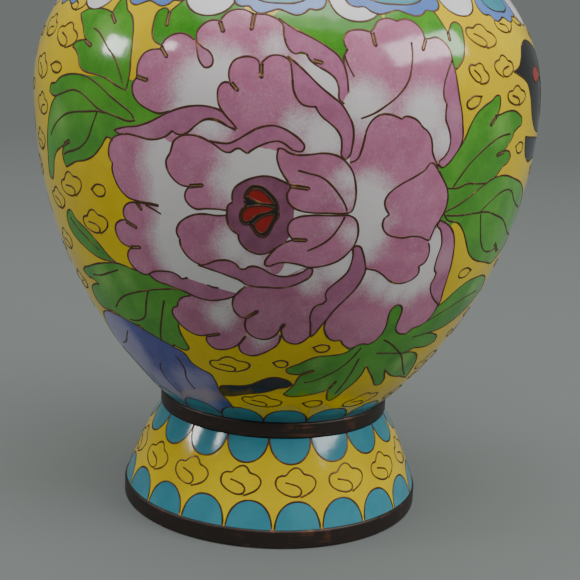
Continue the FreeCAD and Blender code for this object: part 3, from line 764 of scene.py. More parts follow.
def middle_petal(sheet):
    sheet.cell(
        "mauve", wire((-30, 61.1), (-28, 61.7), (-25, 62.2), (-22.5, 63.1), (-20, 64.4), (-18, 65.3),
                      (-16, 65.9),
                      (-14, 66.2), (-12, 66.1), (-10.5, 65.7), (-9, 64.8), (-7.7, 63.6), (-7.6, 62.9)),
        wire((-9, 63.2), (-10.2, 63.9), (-11.7, 64.3), (-13, 64.1), (-14, 63.4), (-15, 62.6), (-15.8, 61.9),
             (-16.8, 61.4), (-17.8, 61.5), (-18.5, 61.9)),
        wire((-19.2, 61.3), (-20, 60.8), (-21.5, 60.3), (-23, 60.2), (-25, 60.5), (-27, 60.7), (-29, 60.6)),
        pale=[(-24, 61.5, 3)])
    sheet.cell(
        "pink", wire((-17, 61.3), (-15.6, 62), (-14.3, 63.2), (-13, 64), (-11.3, 64.1), (-9.5, 63.4),
                     (-7.8, 62.7)),
        bare((-6, 62), (-9, 60), (-14, 60.5)), pale=[(-12, 63.5, 5)])
    sheet.cell(
        "pink", wire((-7.6, 62.9), (-8.6, 64), (-9.8, 65.2), (-10.7, 66.5), (-11, 67.9), (-10.9, 69.2),
                     (-10.2, 70),
                     (-9, 70)),
        wire((-9.4, 71.2), (-9.3, 72.4), (-8.7, 73.5), (-7.5, 74.1), (-6, 74.2), (-5, 73.8), (-4.5, 73.1)),
        wire((-3.9, 73.8), (-3, 74.5), (-2, 74.7), (-0.8, 74.5), (0.2, 73.8), (0.5, 72.5), (0.7, 71),
             (0.9, 69.5),
             (1.5, 68.2), (2.5, 67.2), (3.5, 67), (4.5, 67)),
        wire((4.9, 66.3), (5.6, 65.5), (6.8, 64.6), (8, 63.6), (8.8, 62.3), (9, 61), (9, 59.3)),
        bare((4, 59), (-2, 60), (-6, 61.5)),
        pale=[(6, 62.4, 6), (2, 64.2, 4)])
    sheet.slot((-8.9, 70), (-7.9, 69))
    sheet.slot((-4.35, 73.2), (-4.2, 71.2))
    sheet.cell(
        "mauve", wire((-0.2, 74.6), (1.5, 73.3), (3, 72), (5, 70.2), (7, 68.7), (8.5, 67.6), (9.7, 66),
                      (10.5, 64.5), (10.8, 63), (10.7, 61), (10.4, 59.5), (9.8, 58.9)),
        wire((9.1, 59.4), (9, 61), (8.8, 62.3), (8, 63.6), (6.8, 64.6), (5.6, 65.5), (4.9, 66.3), (4.5, 67)),
        wire((3.5, 67), (2.5, 67.2), (1.5, 68.2), (0.9, 69.5), (0.7, 71), (0.5, 72.5), (0.3, 73.5)))


def heart_petals(sheet):
    """The petals that fold round the heart, and the bud that opens to the right of it."""
    sheet.cell(
        "pink", wire((-12, 60.6), (-13.3, 61.2), (-15, 61.5), (-17, 61.2), (-18.3, 60.2), (-18.7, 59),
                     (-19, 58.2)),
        wire((-19.7, 57), (-19.5, 55.5), (-18.6, 54.2), (-17, 53.2), (-15.6, 53.1)),
        wire((-16.4, 52.1), (-16.5, 51), (-15.8, 50), (-14.5, 49.4), (-13, 49.6), (-11, 49.7), (-9.2, 49.6)),
        bare((-5, 52), (-3, 60), (-8, 60)), pale=[(-7.5, 54.5, 6), (-4.5, 58, 8)])
    sheet.slot((-15.6, 53.2), (-13.4, 53.5))
    sheet.cell(
        "pink", wire((-9.2, 48.8), (-11, 48.6), (-13, 48.7), (-15, 48.4), (-16.7, 47.6), (-18, 46.5),
                     (-18.6, 45),
                     (-18.1, 43.8)),
        wire((-18.1, 42.8), (-17.4, 41.3), (-16, 40), (-14.5, 39.4)),
        bare((-8, 39), (0, 39), (0, 48)), pale=[(-8, 43.2, 5.5), (-5, 40.7, 4.5)])
    sheet.cell(
        "mauve", wire((-12.2, 60.8), (-10.5, 60.6), (-9, 60.6), (-7.5, 61.3), (-6, 62.3), (-4.5, 63.2),
                      (-3, 63.7),
                      (-1.8, 63.8), (-0.3, 63.4), (1.2, 62.6), (2.4, 61.7), (3.1, 60.7), (2.9, 60.1),
                      (1.3, 60.1)),
        wire((0.8, 60.4), (0, 61), (-1, 61.4), (-2.3, 61.2), (-3.8, 60.6), (-5, 59.9), (-5.9, 59.2)),
        wire((-6.5, 59.5), (-7.1, 59.9), (-7.8, 59.8), (-8.6, 59.2), (-9.5, 59.2), (-11, 60.1)))
    sheet.cell(
        "mauve", wire((-15, 39.3), (-13.5, 39.6), (-12, 40.3), (-10.5, 40.7), (-9, 40.7), (-8, 40.3),
                      (-7.2, 39.4)),
        wire((-6.4, 39.3), (-5.4, 39.9), (-4.3, 40), (-3, 39.6), (-1.5, 38.8), (0, 38.4), (1.5, 38.4),
             (3, 38.8),
             (4.3, 39.4), (5.2, 40.1), (5.9, 40), (6, 39.3), (5.7, 38.5), (4.5, 37.6), (3, 36.8), (1.5, 36.3),
             (0, 36.1), (-2, 36.1), (-4.5, 36.1), (-6.2, 36.4)),
        wire((-7, 37), (-9, 37.7), (-11, 38.3), (-13, 38.8)))
    sheet.cell(
        "plum", wire((0.9, 54.6), (-0.5, 55.2), (-2, 55.7), (-3.5, 55.7), (-5, 55.3), (-6.5, 54.6),
                     (-7.8, 53.6),
                     (-8.3, 52.4), (-8.2, 51.1)),
        wire((-9, 50.5), (-9.2, 49.3), (-9.2, 48), (-8.8, 46.8), (-8, 46), (-7.3, 45.6)),
        wire((-7.2, 44.7), (-6.5, 43.6), (-5, 42.6), (-3.5, 42.3), (-2, 42.7), (-0.9, 43.5)),
        bare((1, 45), (2, 50), (1.5, 54)))
    sheet.cell(
        "pink", wire((1, 54.7), (0, 56), (-0.8, 57.4), (-1.2, 59), (-1, 60.3)),
        wire((-0.2, 60.2), (0.6, 59.7), (1.8, 59.4), (4, 59.5), (6, 59.8), (7.5, 59.7), (9, 59.2),
             (10.2, 58.2),
             (11.2, 56.8), (11.8, 55), (12.1, 53), (12, 51.5), (11.7, 50.4), (11.2, 50.1)),
        wire((10.4, 50), (8, 50), (5, 50), (3.3, 50.2), (1.8, 50.8), (0.9, 51.8), (0.7, 53), (1.2, 54.2)),
        pale=[(10.6, 55.5, 4), (11, 52.5, 3)])
    sheet.line((2.3, 56.9), (4, 56.5), (6, 56), (7.5, 55), (9, 53.4), (10.2, 51.8), (10.9, 50.4))
    sheet.slot((1.3, 54.3), (4.1, 54))
    sheet.cell(
        "pink", wire((11.2, 49.7), (12, 49.4), (12.7, 48.8), (13.2, 47.5), (13.3, 45.8), (12.9, 44.3),
                     (12, 43),
                     (10.8, 41.8), (9, 40.9), (7, 40.4), (5, 40.3), (4, 40.6), (2.5, 40.9), (0.5, 41),
                     (-1, 40.6)),
        wire((-1.8, 40.2), (-2.6, 40.4), (-2.6, 41), (-2, 42), (-1, 43.3), (0.2, 44.3), (1.3, 44.9),
             (2.2, 45.2)),
        wire((1.3, 46.2), (1.1, 47.4), (1.7, 48.6), (2.8, 49.2), (4.5, 49.5), (8.5, 49.6)),
        pale=[(12.2, 46.5, 3.5), (8.5, 48.4, 2.5)])
    sheet.line((4.7, 43.3), (6, 43.9), (7.5, 44.8), (8.8, 46), (9.8, 47.6), (10.6, 49.4))
    sheet.slot((2.2, 45.2), (4.3, 45.2))


def stamens(sheet):
    """Three red cells in a dark one, like a small leaf cut in three."""
    sheet.cell(
        "black", wire((-6.3, 51.5), (-6, 53), (-5, 54), (-3.5, 54), (-2, 53), (-1, 51.8), (-0.6, 50.4),
                      (-0.5, 49.2),
                      (-1.2, 48), (-1.8, 46.6), (-2.9, 45.4), (-4, 45.7), (-5, 47), (-5.4, 47.5)),
        wire((-6.4, 47.5), (-7, 48.5), (-6.7, 50), (-6, 50.8)))
    sheet.cell("red", wire((-5.8, 52.1), (-5.4, 53.1), (-4.4, 53.5), (-3.1, 53.1), (-2.2, 52.2),
                           (-1.3, 51.2)),
               wire((-3.2, 51.2), (-5.8, 52.1)))
    sheet.cell("red", wire((-5.8, 50.4), (-6.5, 49.6), (-6.6, 48.5), (-6.1, 47.9), (-5.2, 48.2), (-4.2, 49.1),
                           (-2, 49.9), (-1.1, 50.5)), wire((-3.4, 50.8), (-5.8, 50.4)))
    sheet.cell("red", wire((-4.7, 47.5), (-4.2, 46.6), (-3.3, 46), (-2.5, 46.6), (-1.8, 47.8), (-1.1, 49.4)),
               wire((-3, 49), (-4.7, 47.5)))


def peony(sheet):
    outer_petals(sheet)
    left_petals(sheet)
    upper_petals(sheet)
    right_petals(sheet)
    lower_petals(sheet)
    middle_petal(sheet)
    heart_petals(sheet)
    stamens(sheet)

# %% [markdown]
# ## Leaves, rock and branch
#
# The leaves grow from behind the flower. Their tips are pointed and each has veins of plain wire with the
# same green on both sides. A long pale rock leans in from the lower left.

# %% The leaves
def leaves_under(sheet):
    """Plain green behind the rims of the petals, which needs no wires of its own."""
    sheet.cell("leaf_green", bare((-37, 69.5), (-32, 69.5), (-27, 69.5), (-23, 68), (-20, 62), (-26, 60),
                                  (-31, 60), (-34, 64)))
    sheet.cell("leaf_green", bare((-4, 80), (2, 85.2), (15, 85.2), (16, 80), (9, 72)))
    sheet.cell("leaf_green", bare((24, 58), (30, 62), (33, 57), (40.3, 54.8), (36, 51.4), (32, 47), (24, 46)))
    sheet.cell("leaf_green", bare((16, 23), (22, 19.5), (36, 20), (40, 24.5), (38.5, 30), (34, 31),
                                  (22, 34)))


def leaves_left(sheet):
    sheet.cell(
        "leaf_green", wire((-27.5, 67.7), (-27, 70), (-27.2, 73), (-27.6, 76), (-28.3, 78.5), (-29.3, 80),
                           (-30.8, 81), (-31.5, 82), (-32.5, 83.3)),
        wire((-33.6, 82.6), (-34, 81.5), (-34.2, 80.3)),
        wire((-36, 80.8), (-39, 81), (-42, 80.7), (-43.7, 79.9)),
        wire((-42.6, 78.9), (-41, 77.5), (-40, 76.2), (-39, 75.3)),
        wire((-40.3, 75.2), (-41.8, 74.8), (-42.6, 74)),
        wire((-41.2, 73.4), (-40.2, 72.5), (-39.5, 71.2), (-38.5, 70.4), (-37, 70), (-35, 69.8), (-32, 69.3),
             (-29.5, 68.3)), pale=[(-34, 77, 5)])
    sheet.line((-37.7, 77.4), (-36, 76.8), (-34.5, 75.8), (-33, 74.5), (-30.5, 72.5), (-28.3, 68.8))
    sheet.slot((-34.2, 80.1), (-32.6, 78.6))
    sheet.slot((-39, 75.2), (-37.2, 74.4))
    sheet.cell(
        "leaf_green", wire((-49.5, 66), (-49, 67.2), (-47, 67.6), (-45.5, 68.5), (-43, 69.2), (-40, 69.5),
                           (-37, 69.3), (-34, 68.3), (-31, 66.6), (-28.5, 65.3), (-26.2, 63.9), (-25.6, 63)),
        bare((-22, 62.6), (-24, 61), (-30, 59)),
        wire((-31.5, 59.8), (-33.3, 58), (-35.5, 56.2), (-38, 55.2), (-41, 54.6), (-43, 53.8), (-44.6, 53.3)),
        wire((-45.3, 54.5), (-45.3, 56), (-44.3, 57.1)),
        wire((-46, 56.5), (-48, 55.5), (-49.5, 54), (-51, 51.5), (-52.2, 50.2), (-54, 50.4)),
        wire((-53.8, 51.8), (-53, 54), (-52.3, 57), (-51.3, 59.5), (-50, 62), (-48.5, 64), (-46.5, 65.4)),
        wire((-48.2, 65.4), (-49.5, 66)), pale=[(-46, 62, 4.5)])
    sheet.slot((-44.4, 57.2), (-42.5, 58))
    sheet.line((-25.6, 63), (-27, 62.8), (-29, 63.2), (-32, 63.8), (-34, 64.4), (-36, 65.5), (-38.5, 66.6),
               (-41, 66.8), (-43.5, 66.2), (-45.5, 65.7), (-47, 65.3), (-48.2, 65.4))
    sheet.line((-50, 58.3), (-48, 60), (-45.5, 61.5), (-43, 62.6), (-40, 63.2), (-37, 63.5), (-34, 63.8),
               (-32, 63.7))
    sheet.line((-34, 63.6), (-35.3, 61.3), (-36.7, 59), (-38.5, 57.6), (-41, 56.6), (-43.5, 56),
               (-44.8, 55.5))
    sheet.cell(
        "leaf_green", wire((-47.5, 45), (-46, 45.2), (-45, 44), (-43, 43), (-41, 42), (-39, 40.6),
                           (-37.5, 39.3),
                           (-36, 38), (-34.5, 37.2)),
        wire((-37, 37), (-40, 37.2), (-43, 38), (-46, 39.2), (-48, 40.3), (-49.2, 42), (-48.8, 43.8)))
    sheet.line((-47.3, 43.6), (-45, 42), (-42, 40.4), (-39, 38.8))
    sheet.cell(
        "leaf_green", wire((-26, 36), (-30, 36.5), (-34, 37), (-37.5, 36.5), (-40, 36), (-43, 35.2),
                           (-46, 34.3),
                           (-48.5, 33.6), (-50, 32.8)),
        wire((-48.5, 31.8), (-46, 31.6), (-44, 31)),
        wire((-47, 30.3), (-50, 28.5), (-50.5, 26.5), (-49, 25.2), (-46, 25), (-43, 25.2), (-40.5, 24.6)),
        wire((-39.3, 23.2), (-37.5, 23.3), (-35.5, 23.7), (-33.5, 23.6)),
        wire((-33.6, 21.5), (-33, 19), (-31.8, 16.8), (-30, 15.3), (-28.5, 15.5), (-27.3, 17.2),
             (-26.2, 19.3),
             (-25.2, 20.8)),
        wire((-23.6, 20.1), (-22, 20), (-21.1, 20.6), (-21.5, 22.3), (-22.1, 24.3), (-22, 26.2)),
        bare((-15, 26), (-12, 34), (-19, 35)), pale=[(-41, 33, 5), (-33, 34, 4)])
    sheet.line((-20, 34), (-24, 33.4), (-28, 32.5), (-32, 31.3), (-35.5, 30), (-38, 28.6), (-40.5, 26.7))
    sheet.line((-27.5, 32.5), (-29.2, 29.5), (-31, 26.4), (-34, 24.9), (-37, 24.6))
    sheet.line((-34.5, 35.6), (-38, 34.4), (-41.5, 33.3), (-45, 32.8))
    sheet.line((-24, 31), (-26, 27), (-28.3, 22.5), (-29.6, 18.4))


def leaves_top(sheet):
    sheet.cell(
        "leaf_green", bare((-17, 75), (-20, 75)),
        wire((-23.5, 76.3), (-24.1, 78.5), (-23.7, 81.2), (-22.6, 81.6), (-21.6, 80.9)),
        wire((-20.4, 82.2), (-18.6, 84.2)), bare((-9, 85), (-9, 76)))
    sheet.slot((-21.6, 80.9), (-21.4, 78.6))
    sheet.cell(
        "leaf_green", bare((16, 79), (18, 85.2), (25.5, 85.2)), wire((27.3, 82.8), (28.2, 81), (28.9, 79.5)),
        wire((29.5, 80.4), (30.3, 81.3), (31.5, 81.6), (32.4, 81), (32.4, 79), (32, 77), (31.2, 75.2),
             (29.3, 73.5)), bare((24, 72), (16, 74)))
    sheet.slot((28.9, 79.6), (28.9, 78.4))


def leaves_right(sheet):
    sheet.cell(
        "leaf_green", wire((30.3, 60), (31.8, 62.3), (33, 64.8), (34.3, 66.5), (36, 67.6), (38, 68.5),
                           (39.3, 69.3),
                           (40.3, 69.2), (40.5, 68), (40.2, 66.8), (39.6, 65.9)),
        wire((41, 66.2), (43, 66.6), (45.5, 66.6), (47.5, 66), (49, 65.2), (49.1, 64.3), (47.5, 63.6),
             (46.3, 63)),
        wire((45.8, 62), (44.5, 60.8), (43.4, 59.8)),
        wire((45.5, 59.5), (46.2, 58.6), (45.3, 57.6), (43.8, 57), (42.5, 55.8), (41.3, 55), (40, 54.3)),
        wire((36, 54.5), (34, 54.6), (32, 54), (29.5, 54)), bare((29, 57)), pale=[(41, 64, 4.5)])
    sheet.slot((39.6, 65.9), (38.2, 64.5))
    sheet.slot((43.4, 59.7), (41.3, 59.2))
    sheet.line((44.8, 62.7), (41, 62.2), (38.5, 61.2), (36, 59.7), (34, 58.2), (32.3, 56.3), (30.6, 54))
    sheet.cell(
        "leaf_green", wire((29.7, 49.8), (33, 51), (36, 52.6), (38.5, 54), (41, 55), (43.5, 55.4), (46, 55.3),
                           (49, 54.7), (52, 54), (55, 53.2), (58, 52), (62, 49.5), (65.5, 45.5),
                           (67.5, 42.3)),
        wire((63, 40.6), (60, 39.6), (57, 38.5), (53.5, 37.5), (51, 38), (48, 38.6), (45, 39.2), (42.5, 40),
             (40, 41.5), (38, 43.7), (36, 46), (34, 47.6), (31, 48.4)), pale=[(47, 54, 3)])
    sheet.line((30.5, 49.2), (34, 49), (38, 49.1), (42, 49), (46, 48), (50, 46.8), (53, 45.3), (56, 43.8),
               (61, 42.3))
    sheet.line((39.5, 49.2), (42, 50.8), (45, 52.2), (48, 52.6), (50.5, 52), (53, 50.3), (56, 49), (60, 48))
    sheet.line((40, 48.8), (41.5, 45.8), (43.5, 43), (46, 41.2), (49, 40.6), (52, 40.8), (55, 40))
    sheet.slot((50.5, 42), (54, 40))


def leaves_low(sheet):
    sheet.cell(
        "leaf_green", wire((33.5, 24.6), (38, 24.4), (42, 23.6), (45, 22.2), (45.6, 21)),
        wire((43, 20.4), (40, 20.5), (37, 20.8), (34, 20)), bare((28, 20), (28, 26)))
    sheet.cell(
        "leaf_green", wire((36, 30), (39, 31.8), (41.5, 33.7), (44.5, 35), (48, 35.4), (52, 35.2), (56, 33.8),
                           (58.5, 31.2)),
        wire((56, 29), (52, 27), (48, 25.5), (44, 24.6), (40, 24.3), (34, 24)), bare((33, 27)),
        pale=[(50, 33, 4)])
    sheet.line((36, 27.5), (40, 29), (44, 30.3), (48, 31.2), (53, 31.6))
    sheet.cell(
        "leaf_green", wire((25, 21), (29, 20.6), (33, 20), (37, 19.8), (40, 18.8), (42.5, 17), (44, 15),
                           (46.5, 10.8)),
        wire((44, 11.5), (41, 12.3), (38, 12.8), (35.5, 13.5), (33, 14.7), (31, 15.8)),
        wire((32.5, 14), (33.7, 12.6), (33.9, 11.2)),
        wire((32.5, 11), (31, 11.5), (29.5, 12.8), (27.5, 14.5), (25.5, 16.2), (24, 17.6)),
        bare((22, 20), (21, 24), (26, 25)), pale=[(36, 17.5, 5)])
    sheet.line((23, 25), (26, 24), (28, 23), (31, 21.2), (34, 19.2), (37, 16.5), (40, 14.2), (43.3, 12.3))
    sheet.cell(
        "leaf_green", wire((23.6, 17.6), (23.8, 16), (23.3, 14), (22.3, 12.3), (20.8, 10.6), (19.5, 8.7),
                           (18, 7.7)),
        wire((16.8, 8.2), (16.1, 9.5), (15.7, 11.4)),
        wire((12, 10.3), (9, 9.7), (6, 9.4), (4, 9.6), (2.9, 10.2)),
        wire((4.5, 12), (5.5, 13.3), (6, 14.8), (6.8, 16.2)),
        wire((5, 16.2), (3.2, 16.7), (2.8, 17.6)),
        wire((4, 18.3), (6, 19.2), (8, 20.3), (10, 21), (13, 21.2), (15.5, 21.5), (17.5, 22.4), (18.6, 23.5)),
        bare((21, 26), (25, 25), (24.5, 21)), pale=[(14, 12.5, 3.5), (10, 19, 3.5)])
    sheet.slot((15.8, 11.7), (16.9, 13.8))
    sheet.slot((6.9, 16.2), (9.6, 17.2))
    sheet.line((8, 13.8), (11, 14.5), (14, 16), (16.5, 17.7), (18.5, 20), (20, 22.8))
    sheet.line((18.6, 10), (19.6, 13), (20.3, 16.5), (20.6, 20))


def leaves(sheet):
    leaves_under(sheet)
    leaves_left(sheet)
    leaves_top(sheet)
    leaves_right(sheet)
    leaves_low(sheet)


# %% The rock and the branch
def rock(sheet):
    sheet.cell(
        "lavender", wire((-57, 16.5), (-54, 20.5), (-50, 23.6), (-46, 24.6), (-41, 24.5), (-37, 23.9),
                         (-33.5, 23),
                         (-29, 21.4), (-25, 20), (-22.8, 18.8), (-22, 17), (-20.5, 15.8), (-18.8, 15),
                         (-17.2, 14.3), (-16.6, 12.7), (-16.4, 10.5), (-16, 8.7), (-15, 7), (-14.2, 5.3),
                         (-13.6, 3), (-13.5, -1)),
        bare((-56, -1)), wire((-60, 5), (-60.5, 9), (-59.5, 13)),
        pale=[(-47, 17, 11), (-25, 8, 9), (-20, 12, 5), (-40, 6, 8)])
    sheet.line((-41, 21), (-43, 19.5), (-44.5, 18.3), (-47, 17), (-50, 16.2))
    sheet.line((-33.5, 14.5), (-35.5, 12.5), (-36, 10), (-35.5, 7.5), (-34, 5.2))
    sheet.line((-55, 14), (-52.5, 11.5), (-51.5, 8), (-52.5, 4.5))
    sheet.line((-26, 17.5), (-25.2, 14.5), (-26.3, 11.5), (-25.4, 8.5))
    sheet.cell(
        "navy", wire((-16.3, 9.6), (-15.5, 11), (-13, 11.6), (-9, 12), (-6, 12.8), (-4, 13.8), (-2, 14.8),
                     (0, 15.2), (2.5, 14.8), (4.3, 14), (5, 13.2)),
        wire((3.8, 12.4), (1.5, 12), (-1, 11), (-4, 10.2), (-7, 9.7), (-10, 9), (-13, 8.3), (-15.5, 8.3)))


print("leaves, rock and branch are ready to draw")

# %% [markdown]
# ## A bird
#
# At the right a dark bird flies towards the flower. Its wing and tail are drawn as such birds usually are
# on these vases.

# %% The bird
def bird(sheet):
    sheet.cell(
        "black", wire((45.6, 73.2), (48, 74), (49.8, 75.6), (51.6, 77.6), (54.5, 78.8), (58.5, 78.6),
                      (65, 76.4), (70, 72.8),
                      (75, 69), (80, 66.5), (84, 64.5)),
        wire((80, 63.4), (76, 63.5), (70, 62.5), (64, 62), (58, 63), (54.5, 65.5), (53, 68.5), (51.5, 71),
             (48.5, 72.4)))
    sheet.cell("stone", wire((63.5, 69.5), (66, 70.4), (69, 69.6), (72, 68)),
               wire((71, 65.8), (68, 64.6), (65, 65.3)), pale=[(67, 67.5, 3)])
    sheet.cell("red", wire((55.2, 72.4), (57, 73.9), (60, 73.8), (61.5, 72.6)), wire((59.5, 71.6),
                                                                                     (56.5, 71.4)))
    for start, end in (((64, 74), (74, 66.6)), ((63, 72), (72.5, 65.3)), ((66, 75), (79, 66))):
        sheet.line(start, ((start[0] + end[0]) / 2, (start[1] + end[1]) / 2 + 0.6), end)
    sheet.cell(
        "navy", wire((52, 61.8), (57, 61.4), (64, 60.8), (72, 59.5), (80, 58.5), (81, 57.2)),
        wire((72, 57), (62, 57.2), (56, 57.2), (53.5, 58.6)))


# %% [markdown]
# ## Clouds
#
# The yellow ground is sown with small clouds and drops of plain wire. They have no enamel of their own:
# they give the big yellow field enough wire to hold its glass.

# %% Clouds and drops
CLOUD = [(-0.52, 0.0), (-0.15, -0.13), (0.13, -0.3), (0.26, -0.58), (0.17, -0.86), (-0.1, -0.95),
         (-0.39, -0.86),
         (-0.7, -0.65), (-0.93, -0.35), (-1.0, -0.02), (-0.93, 0.3), (-0.75, 0.45), (-0.5, 0.48),
         (-0.34, 0.73),
         (-0.14, 0.93), (0.09, 0.99), (0.28, 0.84), (0.42, 0.57), (0.65, 0.48), (0.85, 0.35), (1.0, 0.05),
         (0.95, -0.28), (0.78, -0.58), (0.5, -0.82), (0.2, -1.0)]
DROP = [(-1.15, 0.2), (-0.8, 0.4), (-0.3, 0.75), (0.3, 0.72), (0.75, 0.45), (0.85, -0.05), (0.6, -0.55),
        (0, -0.75), (-0.55, -0.55), (-0.85, -0.1), (-1.0, 0.25)]


def sow(sheet, shape, u, s, wide, tall, lean=0.0, flip=1):
    """The shape at (u, s). wide and tall are half its size, lean is in degrees, flip -1 mirrors it."""
    c, n = math.cos(math.radians(lean)), math.sin(math.radians(lean))
    sheet.line(*[(u + c * x * wide * flip - n * y * tall, s + n * x * wide * flip + c * y * tall)
                 for x, y in shape])


FRONT_CLOUDS = [
    (-46, 76, 4.2, 2.2, -8, 1), (-55.5, 77.5, 3.6, 2.1, -10, -1), (-47, 82.3, 3.4, 1.8, -6, 1),
    (-55, 70.2, 3.6, 2.2, -12, 1), (-53.8, 63.6, 3.0, 2.0, -8, -1), (-44, 50.3, 4.0, 2.2, 12, 1),
    (-38, 44.3, 3.9, 2.2, 8, 1), (-51.5, 46.8, 3.4, 2.0, 0, 1), (-54, 38.5, 3.4, 2.1, 8, 1),
    (37.5, 79.4, 4.2, 2.1, -8, 1), (34.9, 73, 2.6, 1.7, -20, 1), (42.5, 74.2, 3.2, 1.9, 0, -1),
    (47, 82, 3.7, 1.9, 6, 1), (46.5, 69.2, 3.6, 1.7, 0, 1), (56, 83.5, 3.6, 1.9, 0, 1),
    (-11.3, 17.8, 5.2, 2.0, 4, 1), (-3.5, 7.5, 6.2, 2.0, -2, 1), (30.5, 6.6, 6.4, 2.1, 8, 1),
    (-57, 57, 3.2, 2.0, 6, 1), (52, 15, 5.0, 2.2, 12, 1), (50, 5.5, 5.0, 2.0, 6, 1),
]
FRONT_DROPS = [(-47.3, 70.2, 2.4, 1.2, 0, 1), (-35, 50.3, 2.0, 1.4, 10, 1), (33.3, 68.2, 2.0, 1.2, 20, -1),
               (49.8, 60, 1.9, 1.3, 0, 1), (41.5, 37.2, 2.2, 1.3, 0, -1), (10.5, 23, 2.0, 1.2, 0, 1),
               (1.5, 18.9, 1.9, 1.2, 0, 1), (12.9, 6.8, 3.4, 1.5, 0, 1)]


# %% [markdown]
# ## Borders
#
# Plain scallops of turquoise stand along each ring. Round the shoulder runs a collar of pale petals with
# a blue lappet hanging in front between each two.

# %% Scallops and collar
def scallops(sheet, enamel, count, first, shape, foot=0.0):
    """Equal cells in a row round the wall. The shape's first and last points lie beyond the sheet's rim."""
    pitch = sheet.wall.around / count
    for number in range(count):
        middle = first + number * pitch
        middle = (middle + sheet.wall.around / 2) % sheet.wall.around - sheet.wall.around / 2
        points = [(middle + x * pitch, foot + y) for x, y in shape]
        sheet.cell(enamel, wire(*points), bare(points[0]))


COLLAR_COUNT = 12
COLLAR_PITCH = BODY.around / COLLAR_COUNT
LAPPET = [(-5.4, 113), (-5.6, 100), (-5.9, 93), (-6.6, 88), (-7.5, 85.2), (-7.8, 83.8), (-7.3, 82.6),
          (-6.2, 82.1), (-5, 82.2), (-4.1, 81.4), (-2.8, 81), (-1.5, 81.4)]


def mirrored(points):
    return [(-x, y) for x, y in reversed(points)]


# How far each petal, then each lappet, strays from its even place round the collar, how far its tip is
# lifted, and for the lappets how wide they are against the drawn one.
PETAL_STRAYS = [(0.6, 0.8), (-0.5, 1.2), (0.3, 0.3), (0.7, 0.9), (-0.6, 0.4), (-0.3, 0.2), (0.4, 0.4),
                (-2.4, 2.4), (-1.0, 1.4), (0.4, 0.6), (-0.3, 0.3), (0.2, 1.0)]
LAPPET_STRAYS = [(0.4, 1.2, 1.0), (-0.5, 0.8, 1.06), (0.3, 0.5, 0.98), (0.6, 1.0, 1.04), (-0.4, 0.6, 1.0),
                 (0.3, 0.9, 1.02), (-0.6, 0.4, 1.05), (-4.6, 1.3, 1.24), (-1.2, 1.2, 1.05), (0.3, 0.8, 1.0),
                 (0.4, 0.6, 1.04), (-0.3, 1.0, 1.0)]


def collar(sheet):
    for number, (stray, lift) in enumerate(PETAL_STRAYS):
        u = -14.2 + (number - 5) * COLLAR_PITCH + stray
        petal = [(-5.5, 114), (-5.5, 95), (-5.5, 88), (-5.3, 85.5), (-4.7, 83.4), (-3.6, 81.7), (-1.9, 80.7)]
        outer = petal + [(0, 80.4)] + mirrored(petal)
        sheet.cell("white", wire(*[(u + x, s + lift) for x, s in outer]), bare((u - 5.5, 114)),
                   pale=[(u, 84, 6)])
    for number, (stray, lift, wide) in enumerate(LAPPET_STRAYS):
        u = -1.5 + (number - 6) * COLLAR_PITCH + stray
        outer = LAPPET + [(0, 81.9)] + mirrored(LAPPET)
        sheet.cell("blue", wire(*[(u + x * wide, s + lift) for x, s in outer]), bare((u - 5.4, 113.5)))
        inner = [(-3.4, 113), (-3.6, 100), (-4.0, 93), (-4.7, 88.2), (-5.1, 86), (-4.6, 84.2), (-3, 83.3)]
        outer = inner + [(0, 83)] + mirrored(inner)
        sheet.cell("turquoise", wire(*[(u + x * wide, s + lift) for x, s in outer]), bare((u - 3.4, 113.5)))


WAIST_SCALLOP = [(-0.495, -1.5), (-0.49, 0.6), (-0.44, 1.9), (-0.29, 3.6), (0, 4.4), (0.29, 3.6), (0.44, 1.9),
                 (0.49, 0.6), (0.495, -1.5)]
FOOT_SCALLOP = [(-0.47, -1), (-0.46, 1.2), (-0.38, 3.3), (-0.22, 4.7), (0, 5.2), (0.22, 4.7), (0.38, 3.3),
                (0.46, 1.2), (0.47, -1)]
HANGING_SCALLOP = [(-0.49, 1), (-0.485, -0.6), (-0.42, -2.4), (-0.24, -4.2), (0, -4.8), (0.24, -4.2),
                   (0.42, -2.4), (0.485, -0.6), (0.49, 1)]

# %% Draw the body
body = Drawing(BODY)
leaves(body)
rock(body)
peony(body)
bird(body)
for u, s, wide, tall, lean, flip in FRONT_CLOUDS:
    sow(body, CLOUD, u, s, wide, tall, lean, flip)
for u, s, wide, tall, lean, flip in FRONT_DROPS:
    sow(body, DROP, u, s, wide, tall, lean, flip)
scallops(body, "turquoise", 18, 5.03, WAIST_SCALLOP)
collar(body)
print(len(body.outlines), "cells and", len(body.wires), "wires on the body")

# %% [markdown]
# ## The other sides
#
# Such a vase usually has a smaller flower behind, with its own leaves, and the same clouds all round. So we
# draw the peony again, mirrored and smaller. Clouds and drops
# fill the yellow that is left, in staggered rows, wherever they keep clear of the cells.

# %% Draw the back of the body
BACK_SCALE = 0.72
FLOWER_MIDDLE = (2.0, 51.0)
BACK_MIDDLE = (146.0, 47.0)
SOWING_SEED = 7


def to_back(u, s):
    """The same place on the flower, mirrored, made smaller and carried half way round."""
    return (BACK_MIDDLE[0] - BACK_SCALE * (u - FLOWER_MIDDLE[0]),
            BACK_MIDDLE[1] + BACK_SCALE * (s - FLOWER_MIDDLE[1]))


